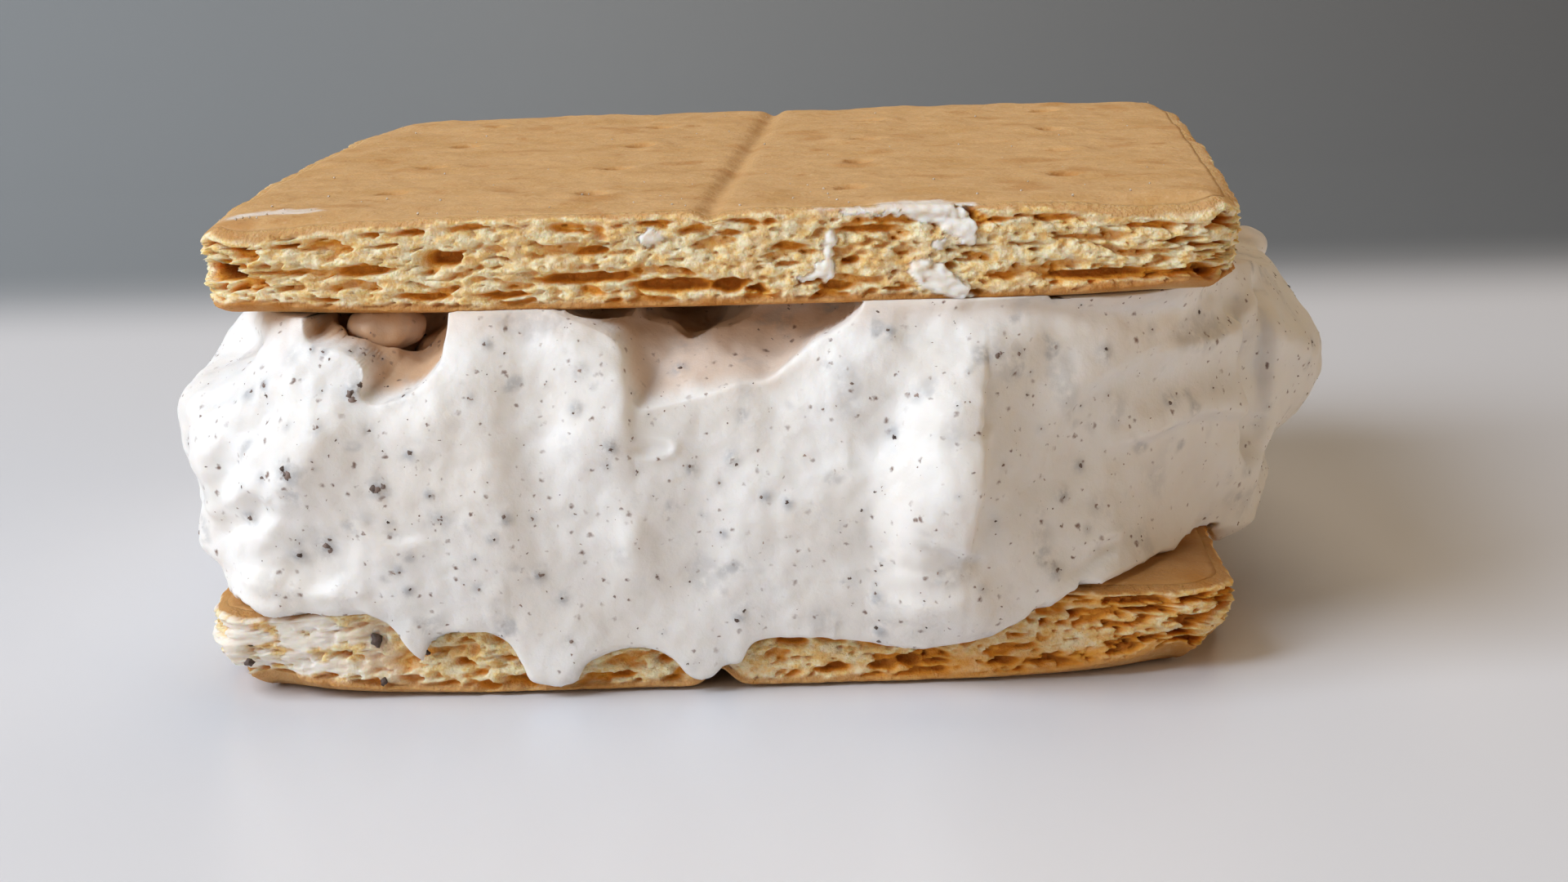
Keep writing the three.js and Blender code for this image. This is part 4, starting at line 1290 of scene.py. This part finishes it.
edgeNoise = {
    # strength, size and step of the seed
    "pocketAlong": [(0.45, (1.5, 1.5, 0.55), 0), (0.2, 0.45, 1)],
    "pocketUp": [(0.16, (1.1, 1.1, 0.45), 3), (0.09, 0.4, 4)],
    "layerWave": [(0.45, 3.2, 6), (0.3, 1.3, 7)],
    "layers": [(1, (2.2, 2.2, 0.62), 0)],
    "fineLayers": [(0.45, (0.8, 0.8, 0.45), 2)],
    "pores": [(1, (0.7, 0.7, 0.34), 5)],
    "cells": [(0.34, (0.85, 0.85, 0.5), 1), (0.13, (0.4, 0.4, 0.28), 2)],
    "curds": [(0.06, 0.24, 9)],
    "smearAlong": [(0.4, 1.1, 0), (0.3, 0.45, 1)],
    "smearUp": [(0.35, 1.1, 2), (0.3, 0.45, 3)],
    "smearShare": [(0.35, 0.5, 5)],
    "film": [(1, (1.7, 1.7, 1.3), 40), (0.6, 0.6, 41)],
    "hollow": [(0.16, (5.0, 5.0, 1.6), 13)],
    "wave": [(0.25, (4.0, 4.0, 9.0), 29)],
    "fade": [(0.25, (1.3, 1.3, 0.6), 50), (0.12, 0.4, 51)],
    "bakedAndShade": [(0.6, (2.4, 2.4, 0.8), 55)],
    "rimToast": [(0.6, (1.6, 1.6, 0.8), 56)],
    "topSmear": [(0.5, 1.3, 70), (0.45, 0.5, 71)],
    "toast": [(1, 3.8, 60)],
}
otherPockets = {
    # in each of the other sides; limits of their height, half length and half height
    "count": 52,
    "largeShare": 0.3,
    "large": [(0.8, 1.6), (0.7, 3.2), (0.18, 0.45)],
    "small": [(1.8, 5.6), (0.4, 1.5), (0.12, 0.32)],
}
cornerLength = cracker["cornerRadius"] * math.pi / 2
straightLength = cracker["side"] - 2 * cracker["cornerRadius"]
sideLength = straightLength + cornerLength


def outlineAt(along):
    # a square with round corners, by length from the front left corner
    radius = cracker["cornerRadius"]
    side = np.floor(along / sideLength).astype(int) % 4
    local = along - np.floor(along / sideLength) * sideLength
    angle = np.clip((local - straightLength) / radius, 0, math.pi / 2)
    onArc = local > straightLength
    x = np.where(onArc, half - radius + radius * np.sin(angle), radius - half + local)
    y = np.where(onArc, radius - half - radius * np.cos(angle), -half)
    cos, sin = np.array([1, 0, -1, 0])[side], np.array([0, 1, 0, -1])[side]
    return np.column_stack([x * cos - y * sin, x * sin + y * cos])


def nearCorner(flat, spread):
    return bell(half - np.abs(flat).min(axis=1), spread)


def bendHeights(flat, bends):
    # how far the lower crust bends up, and the upper one down
    corner = nearCorner(flat, edgeRows["cornerSpread"])
    start = edgeRows["flatReach"]
    share = np.clip((np.abs(flat).max(axis=1) / half - start) / (1 - start), 0, 1) ** edgeRows["bendPower"]
    lift = bends["lowerSide"] + (bends["lowerCorner"] - bends["lowerSide"]) * corner
    droop = bends["upperSide"] + (bends["upperCorner"] - bends["upperSide"]) * corner
    return lift * share, droop * share


def undercutAt(flat, height, bends):
    # how far the lower corners are worn away
    reach = np.abs(flat).max(axis=1)
    outer = flat * (half / np.maximum(reach, 1e-6))[:, None]
    low = np.clip(1 - height / edgeRows["undercutHeight"], 0, 1) ** 2
    return bends["undercut"] * nearCorner(outer, edgeRows["undercutSpread"]) * (reach / half) ** 6 * low


def drawPockets(draw, side):
    # pockets of one of the other sides, the larger ones above the lower crust
    found = []
    for _ in range(otherPockets["count"]):
        place = straightLength / 2 + draw.uniform(-half, half) + side * sideLength
        kind = "large" if draw.random() < otherPockets["largeShare"] else "small"
        found.append((place, *(draw.uniform(*limits) for limits in otherPockets[kind])))
    return found


def allPockets(edge):
    draw = random.Random(int(edge["seed"] * 10))
    pockets = [(pocket[0] + straightLength / 2, *pocket[1:]) for pocket in edge["pockets"]]
    for side in (1, 2, 3):
        pockets += drawPockets(draw, side)
    return pockets


def awayAlong(along, place):
    return (along - place + 2 * sideLength) % (4 * sideLength) - 2 * sideLength


def pocketDepths(along, points, pockets, seed):
    sideways = withNoise(along, points, edgeNoise["pocketAlong"], seed)
    upwards = withNoise(points[:, 2], points, edgeNoise["pocketUp"], seed)
    depth = np.zeros(len(along))
    for place, level, length, tall in pockets:
        reach = np.hypot(awayAlong(sideways, place) / (1.1 * length), (upwards - level) / (1.1 * tall))
        depth = np.maximum(depth, (0.3 + 2.0 * tall) * smoothStep(1.2, 0.5, reach))
    return depth


def crumbTexture(points, seed):
    # the troughs between the layers of the broken crumb, and its curds
    wavy = points.copy()
    wavy[:, 2] = withNoise(wavy[:, 2], points, edgeNoise["layerWave"], seed)
    layers = withNoise(withNoise(0, wavy, edgeNoise["layers"], seed), points, edgeNoise["fineLayers"], seed)
    pores = withNoise(0, points, edgeNoise["pores"], seed)
    curds = 0
    for strength, sizes, shift in edgeNoise["cells"]:
        places = (points / np.array(sizes) + shift * seed).tolist()
        curds = curds + strength * (np.array([noise.voronoi(place)[0][0] for place in places]) - 0.45)
    curds = withNoise(curds, points, edgeNoise["curds"], seed)
    return 0.6 * smoothStep(0.05, 0.45, layers) + 0.3 * smoothStep(0.3, 0.5, pores), curds


def smearDomes(along, points, edge, seed):
    # share and thickness of the filling smeared on the edge
    total, thickness = np.zeros(len(along)), np.zeros(len(along))
    sideways = withNoise(along, points, edgeNoise["smearAlong"], seed)
    upwards = withNoise(points[:, 2], points, edgeNoise["smearUp"], seed)
    for place, level, length, tall, lean, bulge in edge["smears"]:
        across, rise = awayAlong(sideways, place + straightLength / 2), upwards - level
        cos, sin = math.cos(math.radians(lean)), math.sin(math.radians(lean))
        reach = np.hypot((across * cos + rise * sin) / length, (rise * cos - across * sin) / tall)
        part = np.exp(-0.8 * reach**2)
        total += part
        thickness += bulge * part
    share = smoothStep(0.38, 0.62, total) * withNoise(0.85, points, edgeNoise["smearShare"], seed)
    thickness = thickness / (total + 1e-6) * smoothStep(0.4, 0.95, total)
    if edge["smearEnd"]:
        full, none = edge["smearEnd"]
        zone = smoothStep(none, full, points[:, 0]) * (points[:, 1] < 4 - half)
        film = zone * smoothStep(-0.45, 0.1, withNoise(0, points, edgeNoise["film"], seed))
        share = np.maximum(share, 0.8 * film)
        thickness = np.maximum(thickness, 0.1 * film)
    return np.clip(share, 0, 1), thickness


crustRelief = {
    "lumps": [(0.17, 6.0, 0), (0.12, 2.8, 4), (0.05, 1.2, 8), (0.025, 0.6, 12)],
    "lowerShare": 0.3,
    "holeRows": (-21.4, -7.2, 7.2, 21.4),
    "holeColumns": (8.4, 22.2),
    "stagger": 3.6,
    "holeRadius": 0.95,
    "holeDepth": 0.85,
    "holeRim": (0.1, 1.9, 0.8),
    "holeToast": (0.55, 1.3, 0.5),
    "grooveToast": 0.15,
    "patchToast": 0.45,
}


def dockingHoles(flat):
    # depth of the docking holes, and how toasted they are
    heights, toast = np.zeros(len(flat)), np.zeros(len(flat))
    radius = crustRelief["holeRadius"]
    rimHeight, rimRadius, rimWidth = crustRelief["holeRim"]
    share, outer, inner = crustRelief["holeToast"]
    for side in (-1, 1):
        for column, across in enumerate(crustRelief["holeColumns"]):
            for along in crustRelief["holeRows"]:
                shifted = along + (column - 0.5) * crustRelief["stagger"]
                away = np.hypot(flat[:, 0] - side * across, flat[:, 1] - shifted)
                heights -= crustRelief["holeDepth"] * smoothStep(radius * 1.15, radius * 0.35, away)
                heights += rimHeight * bell(away - rimRadius, rimWidth)
                toast = np.maximum(toast, share * smoothStep(outer, inner, away))
    return heights, toast


def crustHeights(flat, edge, upper):
    # relief of the crust over the flat of the cracker, and how toasted it is
    level = onLevel(flat)
    heights = withNoise(0, level, crustRelief["lumps"], edge["seed"])
    toast = edge["toast"]
    if upper:
        holes, toastedHoles = dockingHoles(flat)
        heights += holes
        toast = toast + toastedHoles
    else:
        heights *= crustRelief["lowerShare"]
    groove = bell(flat[:, 0], edge["grooveWidth"])
    if upper == (edge is topEdge):
        heights -= edge["grooveDepth"] * groove
        toast = toast + crustRelief["grooveToast"] * groove
    patches = smoothStep(0.25, 0.6, withNoise(0, level, edgeNoise["toast"], edge["seed"]))
    return heights, toast + crustRelief["patchToast"] * patches


topSmears = [
    # filling smeared on the top: place and half sizes
    (13.0, -31.9, 2.4, 0.9), (10.2, -32.4, 3.0, 0.35), (15.6, -32.2, 0.9, 0.9), (-28.6, -27.6, 3.0, 1.1),
    (-30.4, -28.4, 0.8, 0.9), (-26.2, -28.4, 1.6, 0.6),
]
topSmearMost = 0.65


def topSmearShare(flat, seed):
    ragged = withNoise(0, onLevel(flat), edgeNoise["topSmear"], seed)
    share = np.zeros(len(flat))
    for x, y, width, length in topSmears:
        away = np.hypot((flat[:, 0] - x) / width, (flat[:, 1] - y) / length)
        share = np.maximum(share, smoothStep(1.3, 0.6, away + ragged))
    return topSmearMost * share


def bakedAndShadeShares(points, height, edge):
    # the crumb is browner beside the crusts, the lower edge's crumb gets painted shade towards its right
    # end, and the rim of the lower crust is toasted
    seed = edge["seed"]
    bakedAndShade = 0.3 * bell(height - 1.0, 0.5) + 0.28 * bell(height - 5.3, 0.4)
    bakedAndShade *= withNoise(0.7, points, edgeNoise["bakedAndShade"], seed)
    # painted shade, growing towards the right end of the edge
    bakedAndShade += edge["shadeToRight"] * smoothStep(-2, 16, points[:, 0])
    rim = smoothStep(1.1, 0.4, height) * withNoise(0.9, points, edgeNoise["rimToast"], seed)
    return bakedAndShade, edge["rimToast"] * rim - 0.7 * edge["toast"] * smoothStep(3, 2, height)


def makeEdge(name, edge, place, slotName):
    seed, bends = edge["seed"], edge["bends"]
    levels = [(0, level) for level in np.linspace(edgeRows["lowest"], edgeRows["highest"], edge["rows"])]
    insets, heights = np.array(edgeRows["below"] + levels + edgeRows["above"]).T
    mesh, turns, rows = wrappedSheet(name, edge["columns"], len(insets))
    along = np.interp(turns, edgeRows["columnShare"], np.arange(5) * sideLength)
    outline, inset, height = outlineAt(along), insets[rows], heights[rows]
    flat = outline * (1 - inset / half)[:, None]
    points = np.column_stack([outline, height])
    corner = nearCorner(outline, edgeRows["wornSpread"])
    broken = smoothStep(*edgeRows["brokenInset"], inset)
    skin = smoothStep(*edgeRows["lowerSkin"], height) + smoothStep(*edgeRows["upperSkin"], height)
    share, thickness = smearDomes(along, points, edge, seed + 30)
    if edge is topEdge:
        share *= smoothStep(1.3, 0.3, inset)
    else:
        share *= smoothStep(0.3, 0.1, inset) * smoothStep(0.3, 0.9, height)
    # how far the broken edge goes in
    depth = pocketDepths(along, points, allPockets(edge), seed + 11)
    troughs, curds = crumbTexture(points, seed + 17)
    depth = np.maximum(depth, troughs * (1 - 0.85 * skin)) * (1 - 0.9 * share) * broken
    depth *= 1 + edgeRows["wornMore"] * corner
    inwards = withNoise(0.14, points, edgeNoise["hollow"], seed) * (1 - 0.7 * skin)
    inwards += curds * (1 - 0.85 * share) * (1 - 0.5 * skin)
    inwards = withNoise(inwards, points, edgeNoise["wave"], seed) + depth - thickness
    inwards = np.clip(inwards, *edgeRows["depthLimits"]) * broken + undercutAt(flat, height, bends)
    # the bends of the crusts, and the relief of the top
    lift, droop = bendHeights(flat, bends)
    rise = np.clip(height / cracker["thickness"], 0, 1)
    onTop = smoothStep(5.3, 6.0, height) * (inset < half)
    relief, toast = crustHeights(flat, edge, True)
    points[:, :2] = flat * (1 - inwards / half)[:, None]
    points[:, 2] = height + lift * (1 - rise) - droop * rise + relief * onTop
    if edge is bottomEdge:
        groove = edge["grooveDepth"] * bell(flat[:, 0], edge["grooveWidth"])
        points[:, 2] += groove * (1 - rise) ** 1.5 * (inset < 4)
    writePoints(mesh, points)
    # what the crumb's material reads
    faded = withNoise(height, points, edgeNoise["fade"], seed)
    crustShare = np.maximum(smoothStep(5.85, 6.0, faded - 0.3 * corner), smoothStep(0.75, 0.4, faded))
    storeShare(mesh, "crustShare", np.where(inset > 0.2, 1, crustShare))
    bakedAndShade, rim = bakedAndShadeShares(points, height, edge)
    # the pocket share: painted shade with warm bounce light by the depth of pockets and curds, the baked
    # colour beside the crusts, and the lower edge's painted shade to the right
    bakedAndShade += 0.5 * np.maximum(curds, 0)
    storeShare(mesh, "pocket", depth / 1.3 + bakedAndShade * broken * (1 - share))
    if edge is topEdge:
        share = np.maximum(share, topSmearShare(flat, seed) * onTop)
    storeShare(mesh, "smear", share)
    storeShare(mesh, "toast", (toast + rim) * (1 - share))
    weld(mesh)
    mesh.transform(place)
    addPiece(name, mesh, crumb, (slotName,))


crustSheets = {"inset": 1.0, "cornerRadius": 3.0, "dip": 0.35, "lift": 0.03}


def roundedPlaces(u, v, size, radius):
    # from a square sheet of -1 to 1 to a square with round corners
    start = 1 - radius / size
    a, b = np.abs(u), np.abs(v)
    inCorner = (a > start) & (b > start)
    p, q = (a - start) / (1 - start), (b - start) / (1 - start)
    roundA = start + (1 - start) * p * np.sqrt(np.clip(1 - q * q / 2, 0, 1))
    roundB = start + (1 - start) * q * np.sqrt(np.clip(1 - p * p / 2, 0, 1))
    x = np.sign(u) * np.where(inCorner, roundA, a)
    y = np.sign(v) * np.where(inCorner, roundB, b)
    return np.column_stack([x, y]) * size


def makeCrustSheet(name, edge, upper, cells, place, slotName):
    # the flat of a crust: its rim dips under the surface of the edge piece
    form = bmesh.new()
    bmesh.ops.create_grid(form, x_segments=cells[0], y_segments=cells[1], size=1)
    extrudeAlong(form, [side for side in form.edges if side.is_boundary], (0, 0, -1))
    bmesh.ops.edgeloop_fill(form, edges=[side for side in form.edges if side.is_boundary])
    splitLargeFaces(form)
    mesh = meshFrom(form, name)
    raw = readPoints(mesh)
    flat = roundedPlaces(raw[:, 0], raw[:, 1], half - crustSheets["inset"], crustSheets["cornerRadius"])
    heights, toast = crustHeights(flat, edge, upper)
    lift, droop = bendHeights(flat, edge["bends"])
    smear = topSmearShare(flat, edge["seed"]) if upper and edge is topEdge else np.zeros(len(flat))
    dip = crustSheets["dip"] * raw[:, 2]
    if upper:
        level = cracker["thickness"] + heights - droop + dip + crustSheets["lift"]
    else:
        level = lift - np.minimum(heights, 0) - dip
        flat *= (1 - undercutAt(flat, 0.0, edge["bends"]) / half)[:, None]
    writePoints(mesh, np.column_stack([flat, level]))
    if not upper:
        mesh.flip_normals()
    storeShare(mesh, "toast", toast * (1 - smear))
    storeShare(mesh, "smear", smear)
    mesh.transform(place)
    addPiece(name, mesh, crust, (slotName,))


for crackerName, edge, place, upperCells in (
    ("top", topEdge, placeTop, (270, 220)),
    ("bottom", bottomEdge, placeBottom, (150, 130)),
):
    slotName = crackerName + "_cracker"
    makeEdge(crackerName + "Edge", edge, place, slotName)
    makeCrustSheet(crackerName + "UpperCrust", edge, True, upperCells, place, slotName)
    makeCrustSheet(crackerName + "LowerCrust", edge, False, (110, 90), place, slotName)

# cookie crumbs and sugar

scatter = {
    "seed": 11,
    "dustSize": (0.08, 0.19),
    "crumbShapes": 5,
    "dustShapes": 4,
    "sunk": 0.72,  # the share of its size that a crumb lies under the surface
    "besideShare": 0.3,
    "largeCrumb": 0.45,
    "sugar": 130,
    "sugarSize": (0.035, 0.09),
    "sugarReach": 31,
}
# cookie crumbs in the film on the lower cracker's edge: place along it, height and size
edgeBits = [
    (-21.6, 3.95, 0.42), (-29.8, 2.7, 0.3), (-21.3, 1.2, 0.26), (-18.5, 3.0, 0.24), (-19.6, 3.8, 0.18),
]


def roughBall(subdivisions, roughness, seed, flat):
    form = bmesh.new()
    bmesh.ops.create_icosphere(form, subdivisions=subdivisions, radius=1)
    for vert in form.verts:
        push = 1 + roughness * noise.noise(vert.co * 1.7 + Vector((seed, -seed, seed)))
        vert.co = Vector((vert.co.x * push, vert.co.y * push * 0.85, vert.co.z * push * flat))
    return meshFrom(form, "roughBall")


def joinCopies(name, shapes, placements):
    # one mesh of many small copies; a placement is a shape's number, a place, a size, a turn and a tone
    kept = [(readPoints(shape), readTriangles(shape)) for shape in shapes]
    allPoints, allFaces, tones, start = [], [], [], 0
    for index, place, size, turn, tone in placements:
        points, faces = kept[index]
        allPoints.append(points @ np.array(turn.to_matrix()).T * size + np.array(place))
        allFaces.append(faces + start)
        tones.append(np.full(len(points), tone))
        start += len(points)
    mesh = bpy.data.meshes.new(name)
    mesh.from_pydata(np.concatenate(allPoints).tolist(), [], np.concatenate(allFaces).tolist())
    storeShare(mesh, "tone", np.concatenate(tones))
    return mesh


def randomTurn(draw):
    axis = Vector((draw.uniform(-1, 1), draw.uniform(-1, 1), draw.uniform(-1, 1))).normalized()
    return Matrix.Rotation(draw.uniform(0, 2 * math.pi), 4, axis).to_quaternion()


def crumbAt(draw, place, out, size, sunk, tones, shapes=scatter["crumbShapes"]):
    return draw.randrange(shapes), place - out * size * sunk, size, randomTurn(draw), draw.uniform(*tones)


def crumbBeside(draw, place, aside, size, largest, sunk):
    spot, out, _, _ = fillingTree.find_nearest(place + aside * size)
    return crumbAt(draw, spot, out, size * draw.uniform(0.35, largest), sunk, (0, 0.6))


def makeDust(draw):
    low, high = scatter["dustSize"]
    shapes = [roughBall(1, 0.55, 3.0 * index + 1, 0.8) for index in range(scatter["dustShapes"])]
    dust = []
    for place, out in dustSpots:
        size = low + (high - low) * draw.random() ** 1.6
        dust.append(crumbAt(draw, place, out, size, scatter["sunk"], (0.3, 1), len(shapes)))
    addPiece("cookieDust", joinCopies("cookieDust", shapes, dust), cookie)


def makeBits(draw):
    shapes = [roughBall(2, 0.6, 5.0 * index + 2, 0.8) for index in range(scatter["crumbShapes"])]
    bits = []
    for place, out, size in cookieSpots:
        bits.append(crumbAt(draw, place, out, size, scatter["sunk"], (0, 1)))
        if draw.random() < scatter["besideShare"]:
            aside = Vector((draw.gauss(0, 1), draw.gauss(0, 1), draw.gauss(0, 1)))
            bits.append(crumbBeside(draw, Vector(place), aside, size, 0.6, 0.6))
    for place, size in crumbSpots:
        near, _, _, _ = fillingTree.find_nearest(Vector(place))
        for _ in range(4 if size > scatter["largeCrumb"] else 1):
            aside = Vector((draw.gauss(0, 0.5), 0, draw.gauss(0, 0.5)))
            bits.append(crumbBeside(draw, near, aside, size, 0.7, 0.55))
    for x, z, size in edgeBits:
        place = placeBottom @ Vector((x, -half + 0.1, z))
        bits.append((draw.randrange(len(shapes)), place, size, randomTurn(draw), 0.1))
    addPiece("cookieBits", joinCopies("cookieBits", shapes, bits), cookie)


def makeSugarGrains(draw):
    form = bmesh.new()
    bmesh.ops.create_cube(form, size=1.6)
    bmesh.ops.bevel(
        form, geom=form.edges[:], offset=0.22, affect="EDGES", segments=1, profile=0.5, material=-1
    )
    shape = meshFrom(form, "grain")
    reach, level = scatter["sugarReach"], fillingTop + cracker["thickness"] + 0.02
    grains = []
    for _ in range(scatter["sugar"]):
        x = draw.uniform(-reach, reach)
        # more of them lie near the front
        y = -reach - 0.5 + abs(draw.gauss(0, 9)) if draw.random() < 0.6 else draw.uniform(-reach, reach)
        if abs(y) <= reach:
            size = draw.uniform(*scatter["sugarSize"])
            grains.append((0, (x + cracker["topShift"][0], y, level), size, randomTurn(draw), 0.0))
    addPiece("sugarGrains", joinCopies("sugarGrains", [shape], grains), sugar)


crumbDraw = random.Random(scatter["seed"])
makeDust(crumbDraw)
makeBits(crumbDraw)
makeSugarGrains(random.Random(scatter["seed"] + 5))
